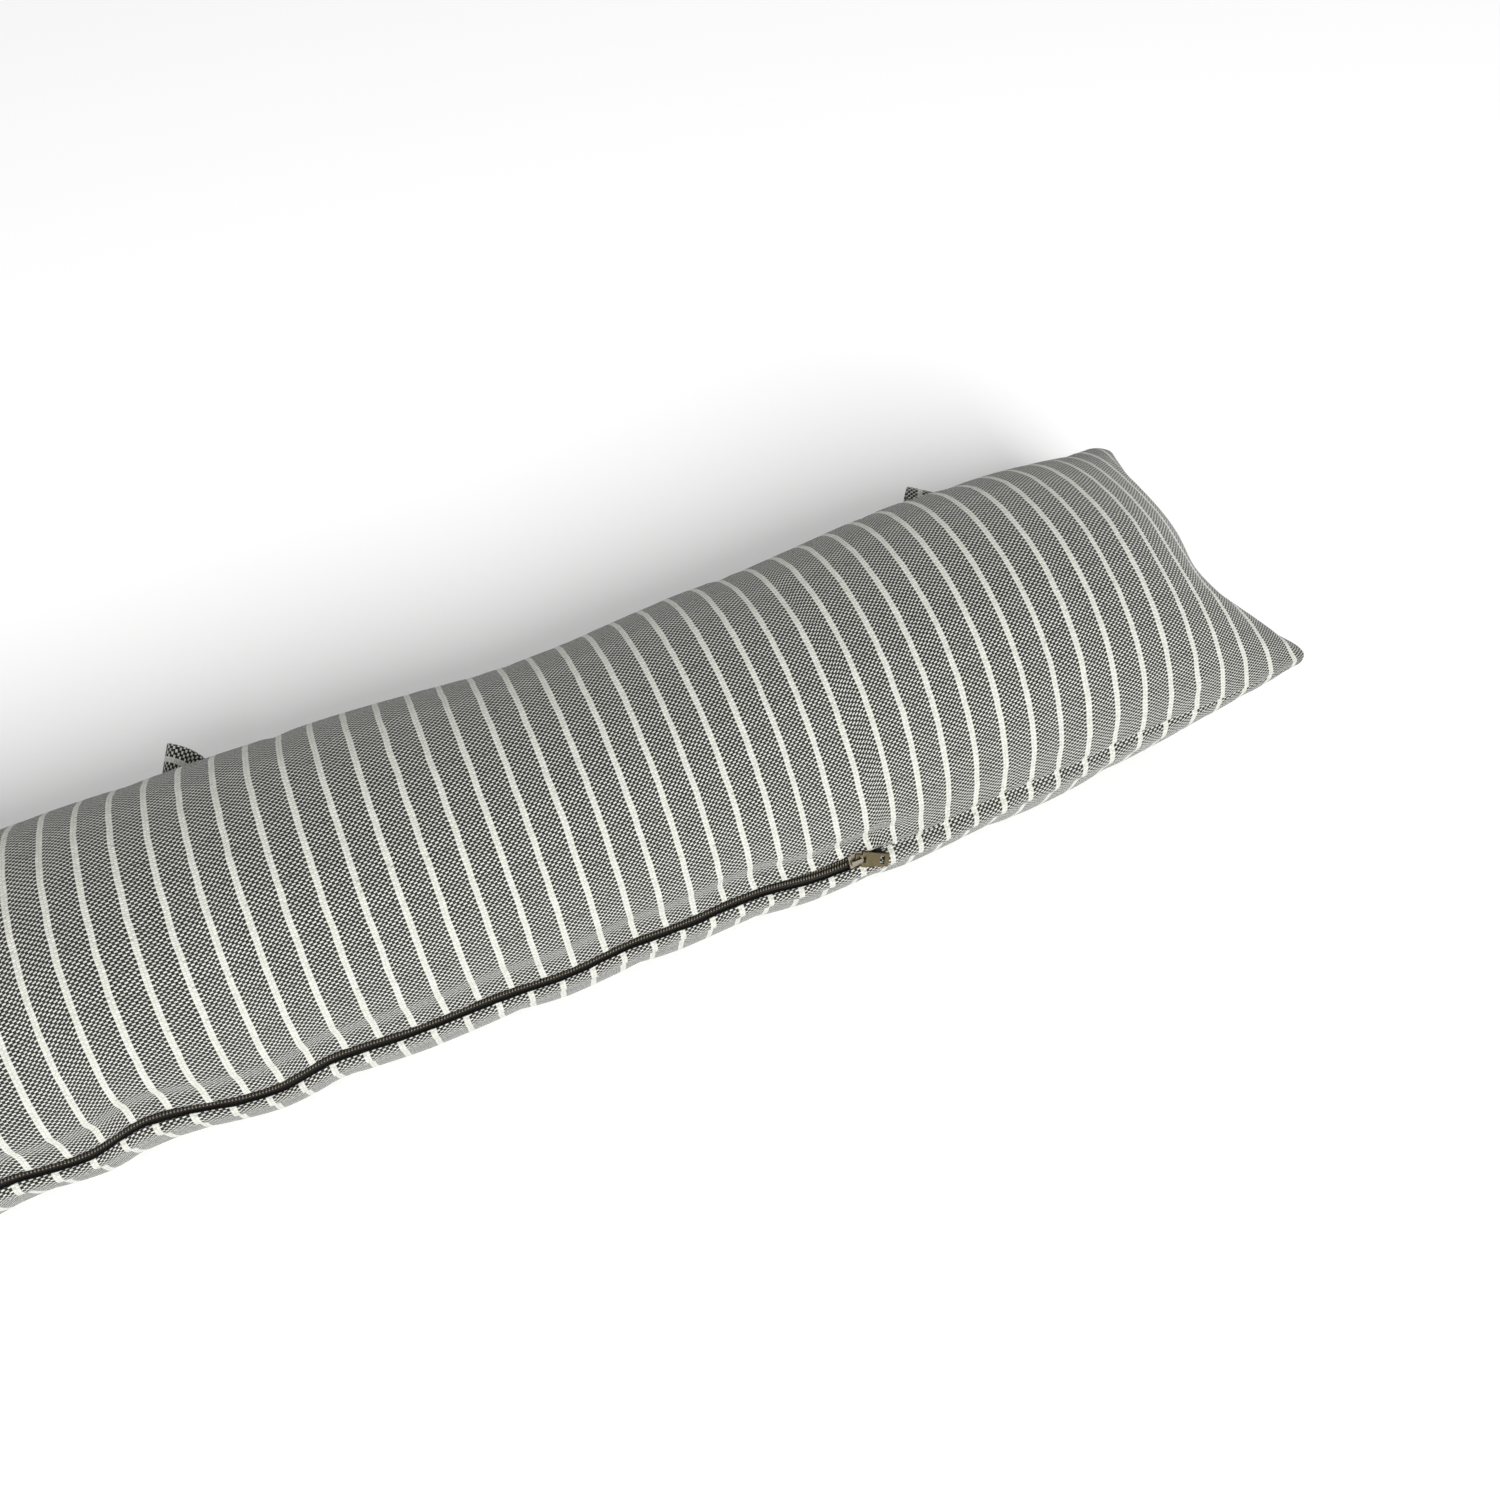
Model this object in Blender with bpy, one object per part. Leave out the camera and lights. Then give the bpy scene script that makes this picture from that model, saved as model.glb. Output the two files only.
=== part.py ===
"""Draught excluder: a long filled cloth tube with a zip in its front seam.

The tube lies along X on the floor plane z = 0, with the zip side towards -Y.
The origin is the middle of the flat underside. All lengths are in metres.
"""
import math

import bmesh
import bpy

# Filled tube.
END_X = 0.4792           # end seam at mid width
HALF_WIDTH = 0.0757      # from the axis to either long seam
CROWN_RISE = 0.0690      # top of the crown above the long seams
BELLY_DROP = 0.0820      # free depth of the belly, before the floor flattens it
SEAM_HEIGHT = 0.0635     # long seams above the floor
ROUNDNESS = 2.05         # exponent of the section in the middle of the tube
END_ROUNDNESS = 1.60     # exponent at the end seam, where the section is a lens
END_RUN = 0.142          # length over which the tube closes to its end seam
FLOOR_BLEND = 0.006      # height over which the belly turns into the flat underside
EDGE_HALF = 0.0012       # half thickness of the closed end seam
FRONT_EAR = 0.0239       # how far the front corners stand out past the end seam
BACK_EAR = 0.0133        # the same for the back corners
END_NARROW = 0.058       # share of the width lost at the front of an end seam
END_SPREAD = 0.147       # share gained at its back
END_FALL = 2.47          # exponents of the way in which the section sinks to the end seam
END_FULL = 2.07
FRONT_CORNER = 0.0121    # rounding of the front corners, seen from above
BACK_CORNER = 0.0149     # rounding of the back corners
HOLLOW = 0.0075          # depth of the dip that the end seam has beside its front corner
HOLLOW_Y = -0.0247
HOLLOW_HALF = 0.0257

# Uneven filling: how the tube differs from a straight even one along its length.
FILLING = (
    # x, swell of the section, sway of the axis along Y
    (-0.480, 0.040, 0.0004),
    (-0.380, 0.038, 0.0010),
    (-0.220, -0.005, 0.0006),
    (-0.080, -0.043, 0.0023),
    (0.050, -0.029, 0.0003),
    (0.150, -0.048, -0.0037),
    (0.250, 0.001, -0.0018),
    (0.350, 0.047, 0.0011),
    (0.450, 0.045, 0.0016),
    (0.480, 0.045, 0.0016),
)

# Front seam: it wanders up and down, because the zip puckers the cloth. It is straight at the slider.
SEAM_LINE = (
    # x, rise above the mean height of the long seams
    (-0.480, 0.0052),
    (-0.438, 0.0023),
    (-0.394, 0.0038),
    (-0.345, 0.0020),
    (-0.296, -0.0022),
    (-0.262, -0.0012),
    (-0.236, 0.0024),
    (-0.205, -0.0036),
    (-0.172, 0.0020),
    (-0.140, -0.0030),
    (-0.104, 0.0024),
    (-0.0755, -0.0042),
    (-0.047, 0.0055),
    (-0.003, -0.0075),
    (0.027, 0.0004),
    (0.064, -0.0038),
    (0.098, -0.0019),
    (0.120, -0.0034),
    (0.155, 0.0009),
    (0.173, -0.0002),
    (0.208, 0.0035),
    (0.244, -0.0025),
    (0.268, -0.0025),
    (0.284, -0.0036),
    (0.335, 0.0023),
    (0.362, 0.0020),
    (0.394, 0.0042),
    (0.438, 0.0023),
    (0.480, 0.0052),
)
WANDER_FADE = 0.020      # distance from the seam over which its wander dies out
SEAM_CREASE = 0.0016     # depth of a plain seam
CREASE_HALF = 0.0040     # half height of the cloth drawn in by it

# Zip, centred on the tube.
ZIP_HALF = 0.264         # half length of the opening
ZIP_BLEND = 0.010        # length over which the opening closes to a plain seam
GROOVE_DEPTH = 0.0040
GROOVE_HALF = 0.0040     # half height of the opening between the two folds
LIP = 0.0020             # height of the rounded fold on either side
LEAN = 24.0              # degrees by which the zip leans up from facing straight out
SLIDER_LEAN = 38.0       # the same at the slider
LEAN_REACH = (0.014, 0.090)  # distances from the slider between which the lean changes
LEAN_BAND = (0.0050, 0.0180)  # distances from the seam over which the cloth takes up the lean
TAPE_HALF = 0.0032
TAPE_THICK = 0.0010
COIL_HEIGHT = 0.0016
COIL_DEPTH = 0.0013
GAP = 0.0003             # clearance between neighbouring pieces

# Slider and its pull.
SLIDER_X = 0.2560        # middle of the slider
SLIDER_LENGTH = 0.0085
SLIDER_HALF_HEIGHT = 0.0030
SLIDER_PLATE = 0.0011
FLANGE = 0.0006
BRIDGE_RISE = 0.0022
BRIDGE_HALF = 0.0026
BRIDGE_THICK = 0.0009
PULL_LENGTH = 0.0161
PULL_START = 0.0024      # end of the pull past the bridge leg that it hangs on
PULL_HALF_HEIGHT = 0.0036
PULL_TIP = 0.0029        # half height at the free end
PULL_NECK = 0.0023       # half width where the bridge leg passes through it
PULL_THICK = 0.0010
PULL_SWING = -26.0       # degrees by which the pull drops from the line of the zip
PULL_HINGE = SLIDER_X + BRIDGE_HALF - 0.5 * BRIDGE_THICK

# Hanging loops of folded cloth strip on the back seam.
LOOP_STRIP = 0.0140      # width of the strip
LOOP_THICK = 0.0016
LOOP_EYE = 0.0072        # clear height inside the fold
LOOPS = (
    # name, x, start past the seam, length to the fold, tilt above the floor, turn in its own plane
    ("hanging_loop_left", -0.380, -0.0001, 0.0215, 20.0, -12.0),
    ("hanging_loop_middle", 0.012, -0.0006, 0.0300, 5.0, 105.0),
    ("hanging_loop_right", 0.380, 0.0001, 0.0205, 30.0, 6.0),
)

# Sampling.
ARC_STEPS = 15           # section points on a panel between its two seams
MID_STATIONS = 88
END_STATIONS = 16


def smooth(edge0, edge1, x):
    """Smooth step from 0 at edge0 to 1 at edge1."""
    t = min(max((x - edge0) / (edge1 - edge0), 0.0), 1.0)
    return t * t * (3.0 - 2.0 * t)


def reading(table, x, column):
    """Value of one column of a table at a station, with smooth steps between its rows."""
    for row0, row1 in zip(table, table[1:]):
        if x <= row1[0]:
            share = smooth(row0[0], row1[0], x)
            return row0[column] + (row1[column] - row0[column]) * share
    return table[-1][column]


def filling(x, column):
    """Swell (1) or sway (2) of the filled tube at a station."""
    return reading(FILLING, x, column)


def swell(x):
    """Section scale at a station."""
    return 1.0 + filling(x, 1)


def closing(x):
    """0 along the tube, rising to 1 at an end seam."""
    return min(max((abs(x) - END_X + END_RUN) / END_RUN, 0.0), 1.0)


def zip_open(x):
    """1 along the zip, 0 where the seam is plain."""
    return 1.0 - smooth(ZIP_HALF, ZIP_HALF + ZIP_BLEND, abs(x))


def wander(x):
    """Height of the front seam above the long seams' mean height."""
    return reading(SEAM_LINE, x, 1)


def front_line(x):
    """Outermost point of the front seam at a station, as y and z."""
    return filling(x, 2) - half_width(x, -1.0), SEAM_HEIGHT + wander(x)


def half_width(x, side):
    """Distance from the axis to the front (side -1) or back (side 1) seam."""
    k = closing(x)
    spread = -END_NARROW if side < 0 else END_SPREAD
    return HALF_WIDTH * swell(x) * (1.0 + spread * k ** 1.5)


def lean(x):
    """Angle by which the front seam leans up at a station."""
    near = 1.0 - smooth(*LEAN_REACH, abs(x - SLIDER_X))
    return math.radians(LEAN + (SLIDER_LEAN - LEAN) * near) * (1.0 - closing(x))


def seam_point(x, out, up):
    """Point at a distance out from and up along the leaning front seam."""
    y, z = front_line(x)
    tilt = lean(x)
    c = math.cos(tilt)
    s = math.sin(tilt)
    return x, y - out * c + up * s, z + out * s + up * c


def crease(offset, opened):
    """Depth of the front seam at a height above its line, for a shut or opened seam."""
    s = abs(offset)
    plain = SEAM_CREASE * (1.0 - smooth(0.0, CREASE_HALF, s))
    if s <= GROOVE_HALF:
        groove = GROOVE_DEPTH
    else:
        groove = 0.0008 * (1.0 - smooth(GROOVE_HALF, GROOVE_HALF + LIP, s))
    return plain + (groove - plain) * opened


def end_reach(k, c, y, inset):
    """How far the cover stands out past its station near an end, with rounded corners and a dip."""
    ear, corner = (FRONT_EAR, FRONT_CORNER) if c > 0.0 else (BACK_EAR, BACK_CORNER)
    missing = max(corner - inset, 0.0)
    rounding = corner - math.sqrt(corner * corner - missing * missing)
    dip = HOLLOW * math.exp(-((y - HOLLOW_Y) / HOLLOW_HALF) ** 2)
    return ear * k ** 2 * abs(c) ** 3 - rounding * k ** 4 - dip * k ** 3


def panel_point(x, t, depth=0.0):
    """Point of the section at angle t (0 front seam, pi back seam, upper panel in between)."""
    k = closing(x)
    c = math.cos(t)
    s = math.sin(t)
    power = 2.0 / (ROUNDNESS + (END_ROUNDNESS - ROUNDNESS) * k ** 1.5)
    side = -1.0 if c > 0.0 else 1.0
    reach = half_width(x, side)
    y = -reach * math.copysign(abs(c) ** power, c)
    stretch = end_reach(k, c, y, reach * (1.0 - abs(c) ** power))
    fullness = max(1.0 - k ** END_FALL, 0.0) ** (1.0 / END_FULL)
    rise = abs(s) ** power * fullness * swell(x)
    if s >= 0.0:
        z = CROWN_RISE * rise
    else:
        z = -BELLY_DROP * rise
    edge = EDGE_HALF * smooth(0.75, 1.0, k)
    z += math.copysign(edge, s) if abs(s) > 1e-9 else 0.0
    if c > 0.0:
        share = 1.0 - smooth(*LEAN_BAND, abs(z))
        tilt = lean(x) * share
        inward = y + reach + depth
        wave = wander(x) * math.exp(-(y + reach) / WANDER_FADE)
        y = -reach + inward * math.cos(tilt) + z * math.sin(tilt)
        z = z * math.cos(tilt) - inward * math.sin(tilt) * share + wave
    else:
        y -= depth
    z += SEAM_HEIGHT
    if z < FLOOR_BLEND:
        z = (z + FLOOR_BLEND) ** 2 / (4.0 * FLOOR_BLEND) if z > -FLOOR_BLEND else 0.0
    return x + math.copysign(1.0, x) * stretch, y + filling(x, 2), z


def section(x):
    """Closed ring of the tube at a station, from the front seam over the crown and back."""
    opened = zip_open(x) * (1.0 - closing(x))
    shut = 1.0 - 0.85 * smooth(0.5, 1.0, closing(x))
    power = ROUNDNESS / 2.0
    near = (GROOVE_HALF - 0.0001, GROOVE_HALF + 0.0003, GROOVE_HALF + LIP, 0.0082, 0.0120)
    front = [math.asin((h / CROWN_RISE) ** power) for h in near]
    first = front[-1]
    last = math.pi - 0.16
    panel = [first + (last - first) * i / ARC_STEPS for i in range(1, ARC_STEPS + 1)]
    back = [math.pi - 0.055]
    angles = front + panel + back
    depth = [crease(h, opened) * shut for h in near]
    depth += [0.0] * len(panel) + [0.4 * SEAM_CREASE * shut]
    seam_front = panel_point(x, 0.0, crease(0.0, opened) * shut)
    seam_back = panel_point(x, math.pi, SEAM_CREASE * shut)
    upper = [panel_point(x, a, d) for a, d in zip(angles, depth)]
    lower = [panel_point(x, -a, d) for a, d in zip(angles, depth)]
    return [seam_front] + upper + [seam_back] + lower[::-1]


def stations():
    """Stations along the tube, closer together where the ends close."""
    body = END_X - END_RUN
    middle = [-body + 2.0 * body * i / MID_STATIONS for i in range(MID_STATIONS + 1)]
    stops = [side * (ZIP_HALF + more) for side in (-1.0, 1.0) for more in (0.0, ZIP_BLEND)]
    middle = [x for x in middle if min(abs(x - stop) for stop in stops) > 0.003]
    middle = sorted(middle + stops)
    quarter = [math.sin(0.5 * math.pi * i / END_STATIONS) for i in range(1, END_STATIONS + 1)]
    right = [body + END_RUN * q for q in quarter]
    return [-x for x in reversed(right)] + middle + right


def add_object(name, verts, faces, collection):
    """New mesh object in a collection."""
    mesh = bpy.data.meshes.new(name)
    mesh.from_pydata(verts, [], faces)
    mesh.update()
    obj = bpy.data.objects.new(name, mesh)
    collection.objects.link(obj)
    return obj


def skin(rings):
    """Faces that join a row of equal closed rings, without the two ends."""
    count = len(rings[0])
    faces = []
    for i in range(len(rings) - 1):
        for j in range(count):
            k = (j + 1) % count
            faces.append((i * count + j, i * count + k, (i + 1) * count + k, (i + 1) * count + j))
    return faces


def folded_cap(start, count, flip):
    """Faces that close a ring whose upper and lower halves mirror each other."""
    half = count // 2
    faces = []
    for j in range(half):
        upper0 = start + j
        upper1 = start + j + 1
        lower0 = start + (count - j) % count
        lower1 = start + count - j - 1
        ring = [upper0, upper1, lower1, lower0]
        ring = [v for n, v in enumerate(ring) if v not in ring[:n]]
        faces.append(tuple(reversed(ring)) if flip else tuple(ring))
    return faces


def filled_cover(collection):
    """The sewn cover with its filling, as one solid."""
    rings = [section(x) for x in stations()]
    verts = [p for ring in rings for p in ring]
    count = len(rings[0])
    faces = skin(rings)
    faces += folded_cap(0, count, False)
    faces += folded_cap((len(rings) - 1) * count, count, True)
    return add_object("filled_cover", verts, faces, collection)


def bar(name, profile, half_length, steps, collection):
    """Bar along the zip: a profile of (outward, up) offsets carried along the front seam."""
    rings = []
    for i in range(steps + 1):
        x = -half_length + 2.0 * half_length * i / steps
        rings.append([seam_point(x, out, rise) for out, rise in profile])
    count = len(profile)
    verts = [p for ring in rings for p in ring]
    faces = skin(rings)
    faces.append(tuple(reversed(range(count))))
    faces.append(tuple(range(steps * count, (steps + 1) * count)))
    return add_object(name, verts, faces, collection)


def zip_parts(collection):
    """Tape and the two rows of the coil."""
    floor = -GROOVE_DEPTH + GAP
    face = floor + TAPE_THICK
    run = ZIP_HALF - 0.001
    tape = ((floor, -TAPE_HALF), (floor, TAPE_HALF), (face, TAPE_HALF), (face, -TAPE_HALF))
    parts = [bar("zip_tape", tape, run, 96, collection)]
    foot = face + GAP
    head = foot + COIL_DEPTH
    bevel = 0.0004
    for name, sign in (("zip_coil_upper", 1.0), ("zip_coil_lower", -1.0)):
        inner = sign * GAP * 0.6
        outer = inner + sign * COIL_HEIGHT
        row = [
            (foot, inner),
            (foot, outer),
            (head - bevel, outer),
            (head, outer - sign * bevel),
            (head, inner + sign * bevel),
            (head - bevel, inner),
        ]
        if sign < 0.0:
            row.reverse()
        parts.append(bar(name, row, run - 0.001, 96, collection))
    return parts


def slider_place(x, out, up):
    """Point given in the slider's own directions: along the zip, out from it and up its face."""
    _, y, z = seam_point(SLIDER_X, out, up)
    return x, y, z


def pull_place(x, out, up):
    """Point of the pull, swung in its own plane about the right leg of the bridge."""
    swing = math.radians(PULL_SWING)
    dx = x - PULL_HINGE
    turned = PULL_HINGE + dx * math.cos(swing) - up * math.sin(swing)
    return slider_place(turned, out, dx * math.sin(swing) + up * math.cos(swing))


def box(name, low, high, place, collection):
    """Box between two corners, given as along, out and up, set in place by a function."""
    (x0, y0, z0), (x1, y1, z1) = low, high
    verts = [place(x, y, z) for x in (x0, x1) for y in (y0, y1) for z in (z0, z1)]
    faces = [(0, 1, 3, 2), (4, 6, 7, 5), (0, 4, 5, 1), (2, 3, 7, 6), (0, 2, 6, 4), (1, 5, 7, 3)]
    return add_object(name, verts, faces, collection)


def combine(target, tools, operation):
    """Boolean modifiers on a target, one for each tool."""
    for tool in tools:
        modifier = target.modifiers.new(tool.name, "BOOLEAN")
        modifier.operation = operation
        modifier.solver = "EXACT"
        modifier.object = tool


def slider_parts(collection, cutters):
    """Slider with its bridge, and the flat pull that lies over the seam."""
    coil_top = -GROOVE_DEPTH + GAP + TAPE_THICK + GAP + COIL_DEPTH
    back = coil_top + GAP
    front = back + SLIDER_PLATE
    x0 = SLIDER_X - 0.5 * SLIDER_LENGTH
    x1 = SLIDER_X + 0.5 * SLIDER_LENGTH
    tall = SLIDER_HALF_HEIGHT
    here = slider_place
    plate = box("zip_slider", (x0, back, -tall), (x1, front, tall), here, collection)
    foot = coil_top - COIL_DEPTH + 0.0002
    wings = []
    for name, low in (("slider_wing_upper", tall - FLANGE), ("slider_wing_lower", -tall)):
        high = (x1, back + 0.0004, low + FLANGE)
        wings.append(box(name, (x0, foot, low), high, here, cutters))
    top = front + BRIDGE_RISE
    left = SLIDER_X - BRIDGE_HALF
    right = SLIDER_X + BRIDGE_HALF
    t = BRIDGE_THICK
    root = front - 0.0004
    legs = [
        box("bridge_leg_left", (left, root, -t), (left + t, top, t), here, cutters),
        box("bridge_leg_right", (right - t, root, -t), (right, top, t), here, cutters),
        box("bridge_bar", (left, top - 0.0001, -t), (right, top + t, t), here, cutters),
    ]
    combine(plate, wings + legs, "UNION")

    low = front + 0.0006
    high = low + PULL_THICK
    start = PULL_HINGE - PULL_START
    end = start + PULL_LENGTH
    wide = PULL_HALF_HEIGHT
    neck = PULL_NECK
    outline = (
        (start, -neck),
        (start + 0.0046, -neck),
        (start + 0.0060, -wide),
        (end - 0.0008, -PULL_TIP),
        (end, -PULL_TIP + 0.0008),
        (end, PULL_TIP - 0.0008),
        (end - 0.0008, PULL_TIP),
        (start + 0.0060, wide),
        (start + 0.0046, neck),
        (start, neck),
    )
    count = len(outline)
    verts = [pull_place(px, low, pz) for px, pz in outline]
    verts += [pull_place(px, high, pz) for px, pz in outline]
    faces = [tuple(reversed(range(count))), tuple(range(count, 2 * count))]
    for j in range(count):
        k = (j + 1) % count
        faces.append((j, k, count + k, count + j))
    pull = add_object("zip_pull", verts, faces, collection)
    eye_low = (PULL_HINGE - 0.0011, low - 0.001, -0.0015)
    eye_high = (PULL_HINGE + 0.0011, high + 0.001, 0.0015)
    eye = box("pull_eye", eye_low, eye_high, pull_place, cutters)
    slot_low = (end - 0.0044, low - 0.001, -0.0018)
    slot_high = (end - 0.0022, high + 0.001, 0.0018)
    slot = box("pull_slot", slot_low, slot_high, pull_place, cutters)
    combine(pull, [eye, slot], "DIFFERENCE")
    return [plate, pull]


def loop_path(reach):
    """Middle line of a folded strip, as distance from the seam and height above the fold plane."""
    rows = []
    gap = 0.5 * LOOP_EYE + 0.5 * LOOP_THICK
    root = 0.5 * LOOP_THICK + 0.5 * GAP
    bow = reach - 0.5 * LOOP_THICK - gap
    for i in range(13):
        u = bow * i / 12.0
        rows.append((u, root + (gap - root) * smooth(0.0, 0.8 * bow, u)))
    for i in range(1, 12):
        a = math.pi * i / 12.0
        rows.append((bow + gap * math.sin(a), gap * math.cos(a)))
    rows += [(u, -n) for u, n in reversed(rows[:13])]
    return rows


def hanging_loop(name, x, start, reach, tilt, turn, collection):
    """Loop of folded strip that starts at the back seam and may lean over along the tube."""
    rise = math.radians(tilt)
    y0 = filling(x, 2) + half_width(x, 1.0) + start
    out = (0.0, math.cos(rise), math.sin(rise))
    normal = (0.0, -math.sin(rise), math.cos(rise))
    radius = reach / math.radians(turn)
    rings = []
    for u, n in loop_path(reach):
        bend = u / radius
        side = -radius * (1.0 - math.cos(bend))
        ahead = radius * math.sin(bend)
        rings.append((side, ahead, n, bend))
    solid = []
    half_strip = 0.5 * LOOP_STRIP
    for i, (side, ahead, n, bend) in enumerate(rings):
        before = rings[max(i - 1, 0)]
        after = rings[min(i + 1, len(rings) - 1)]
        du = math.hypot(after[1] - before[1], after[0] - before[0])
        forward = 1.0 if i < len(rings) // 2 else -1.0
        dn = after[2] - before[2]
        size = math.hypot(du, dn) or 1.0
        along = forward * du / size
        across = dn / size
        ring = []
        for thick, wide in ((-1, -1), (-1, 1), (1, 1), (1, -1)):
            w = wide * half_strip
            h = thick * 0.5 * LOOP_THICK
            slip = -across * h
            lift = n + along * h
            sx = side + w * math.cos(bend) - slip * math.sin(bend)
            so = ahead + w * math.sin(bend) + slip * math.cos(bend)
            ring.append((
                x + sx,
                y0 + so * out[1] + lift * normal[1],
                SEAM_HEIGHT + so * out[2] + lift * normal[2],
            ))
        solid.append(ring)
    count = 4
    verts = [p for ring in solid for p in ring]
    faces = skin(solid)
    faces.append((3, 2, 1, 0))
    last = (len(solid) - 1) * count
    faces.append((last, last + 1, last + 2, last + 3))
    return add_object(name, verts, faces, collection)


def paint(obj, name, colour, roughness, metallic=0.0):
    """Principled material of one sub-part."""
    material = bpy.data.materials.new(name)
    material.use_nodes = True
    shader = material.node_tree.nodes["Principled BSDF"]
    shader.inputs["Base Color"].default_value = (*colour, 1.0)
    shader.inputs["Roughness"].default_value = roughness
    shader.inputs["Metallic"].default_value = metallic
    obj.data.materials.append(material)


def outward(obj):
    """Turn all faces of a closed mesh outwards."""
    work = bmesh.new()
    work.from_mesh(obj.data)
    bmesh.ops.recalc_face_normals(work, faces=work.faces)
    if work.calc_volume(signed=True) < 0.0:
        bmesh.ops.reverse_faces(work, faces=work.faces)
    work.to_mesh(obj.data)
    work.free()


for old in list(bpy.data.objects):
    bpy.data.objects.remove(old, do_unlink=True)
for old in list(bpy.data.collections):
    bpy.data.collections.remove(old)

part = bpy.data.collections.new("draught_excluder")
bpy.context.scene.collection.children.link(part)
cutters = bpy.data.collections.new("cutters")
bpy.context.scene.collection.children.link(cutters)

cover = filled_cover(part)
tape, coil_upper, coil_lower = zip_parts(part)
slider, pull = slider_parts(part, cutters)
loops = [hanging_loop(*row, part) for row in LOOPS]

for made in list(part.objects) + list(cutters.objects):
    outward(made)
for tool in cutters.objects:
    tool.hide_render = True
    tool.display_type = "WIRE"

CLOTH = (0.30, 0.30, 0.28)
paint(cover, "woven cloth", CLOTH, 0.90)
paint(tape, "zip tape cloth", (0.030, 0.026, 0.022), 0.85)
paint(coil_upper, "upper coil nylon", (0.050, 0.038, 0.028), 0.45)
paint(coil_lower, "lower coil nylon", (0.050, 0.038, 0.028), 0.45)
paint(slider, "slider antique metal", (0.110, 0.090, 0.060), 0.35, 1.0)
paint(pull, "pull antique metal", (0.120, 0.100, 0.070), 0.35, 1.0)
for loop in loops:
    paint(loop, loop.name + " cloth", CLOTH, 0.90)
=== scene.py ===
# %% [markdown]
# # A filled draught excluder in woven cloth
# This lesson dresses a plain CAD model of a draught excluder: a metre-long cloth tube,
# filled with loose fibre, with a zip in its front seam and three hanging loops at the back.
# The CAD model gives every size. The scene adds the soft shape, the weave and the zip's detail.

# %% Load the frame
import math
import time

import bmesh
import bpy
import numpy as np
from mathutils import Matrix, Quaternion, Vector, noise


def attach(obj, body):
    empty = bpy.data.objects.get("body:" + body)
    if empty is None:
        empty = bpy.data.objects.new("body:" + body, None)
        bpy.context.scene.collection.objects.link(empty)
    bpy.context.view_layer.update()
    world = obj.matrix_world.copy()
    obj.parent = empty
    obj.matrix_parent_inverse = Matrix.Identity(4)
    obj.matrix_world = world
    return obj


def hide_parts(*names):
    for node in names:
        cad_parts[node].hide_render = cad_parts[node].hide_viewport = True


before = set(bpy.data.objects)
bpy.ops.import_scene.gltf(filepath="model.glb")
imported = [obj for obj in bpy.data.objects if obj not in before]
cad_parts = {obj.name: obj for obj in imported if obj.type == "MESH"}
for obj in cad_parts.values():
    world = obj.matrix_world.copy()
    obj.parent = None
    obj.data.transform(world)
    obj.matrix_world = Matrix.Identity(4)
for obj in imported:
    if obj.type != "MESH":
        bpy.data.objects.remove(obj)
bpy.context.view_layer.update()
scene = bpy.context.scene
bpy.ops.object.select_all(action="DESELECT")

# %% [markdown]
# The camera comes first, because every later choice is judged through it. The photograph
# was taken from about 0.7 m, looking down at 55 degrees, with a fairly wide lens, so the
# near part of the tube is visibly larger than the far one. The numbers were fitted to the
# stripes, the outlines and the zip line, in a frame of 1500 by 1500 pixels.

# %% Camera
FOCAL_PIXELS = 1496.4
FRAME_PIXELS = 1500.0
AIM = Vector((0.2380, -0.0075, 0.0640))
DISTANCE = 0.6812
AZIMUTH = math.radians(-24.49)
ELEVATION = math.radians(55.544)
ROLL = math.radians(-0.201)

back = Vector((
    math.sin(AZIMUTH) * math.cos(ELEVATION),
    -math.cos(AZIMUTH) * math.cos(ELEVATION),
    math.sin(ELEVATION),
))
camera_data = bpy.data.cameras.new("camera")
camera = bpy.data.objects.new("camera", camera_data)
scene.collection.objects.link(camera)
camera.location = AIM + back * DISTANCE
level = (-back).to_track_quat("-Z", "Y")
roll = Quaternion(back, ROLL)
camera.rotation_mode = "QUATERNION"
camera.rotation_quaternion = roll @ level
camera_data.sensor_width = 36.0
camera_data.lens = 36.0 * FOCAL_PIXELS / FRAME_PIXELS
scene.camera = camera
print("camera at", [round(v, 4) for v in camera.location], "lens", round(camera_data.lens, 2))

# %% [markdown]
# Colours are written as the hex values that a paint program shows. Cycles needs linear
# light, so one function turns them. A second one adds a shader node, sets it and links it.

# %% Helpers for colour and nodes
def linear(code):
    """Linear RGBA of an sRGB hex colour."""
    parts = [int(code[i:i + 2], 16) / 255.0 for i in (1, 3, 5)]
    turned = [c / 12.92 if c <= 0.04045 else ((c + 0.055) / 1.055) ** 2.4 for c in parts]
    return (*turned, 1.0)


def add_node(tree, kind, settings=None, values=None, links=None):
    """Shader node with its settings, its input values and its incoming links."""
    node = tree.nodes.new(kind)
    for name, value in (settings or {}).items():
        setattr(node, name, value)
    for name, value in (values or {}).items():
        node.inputs[name].default_value = value
    for name, socket in (links or {}).items():
        tree.links.new(socket, node.inputs[name])
    return node


def new_material(name, roughness, metallic=0.0):
    """Empty Principled material and its node tree."""
    material = bpy.data.materials.new(name)
    material.use_nodes = True
    shader = material.node_tree.nodes["Principled BSDF"]
    shader.inputs["Roughness"].default_value = roughness
    shader.inputs["Metallic"].default_value = metallic
    return material, material.node_tree, shader


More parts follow.
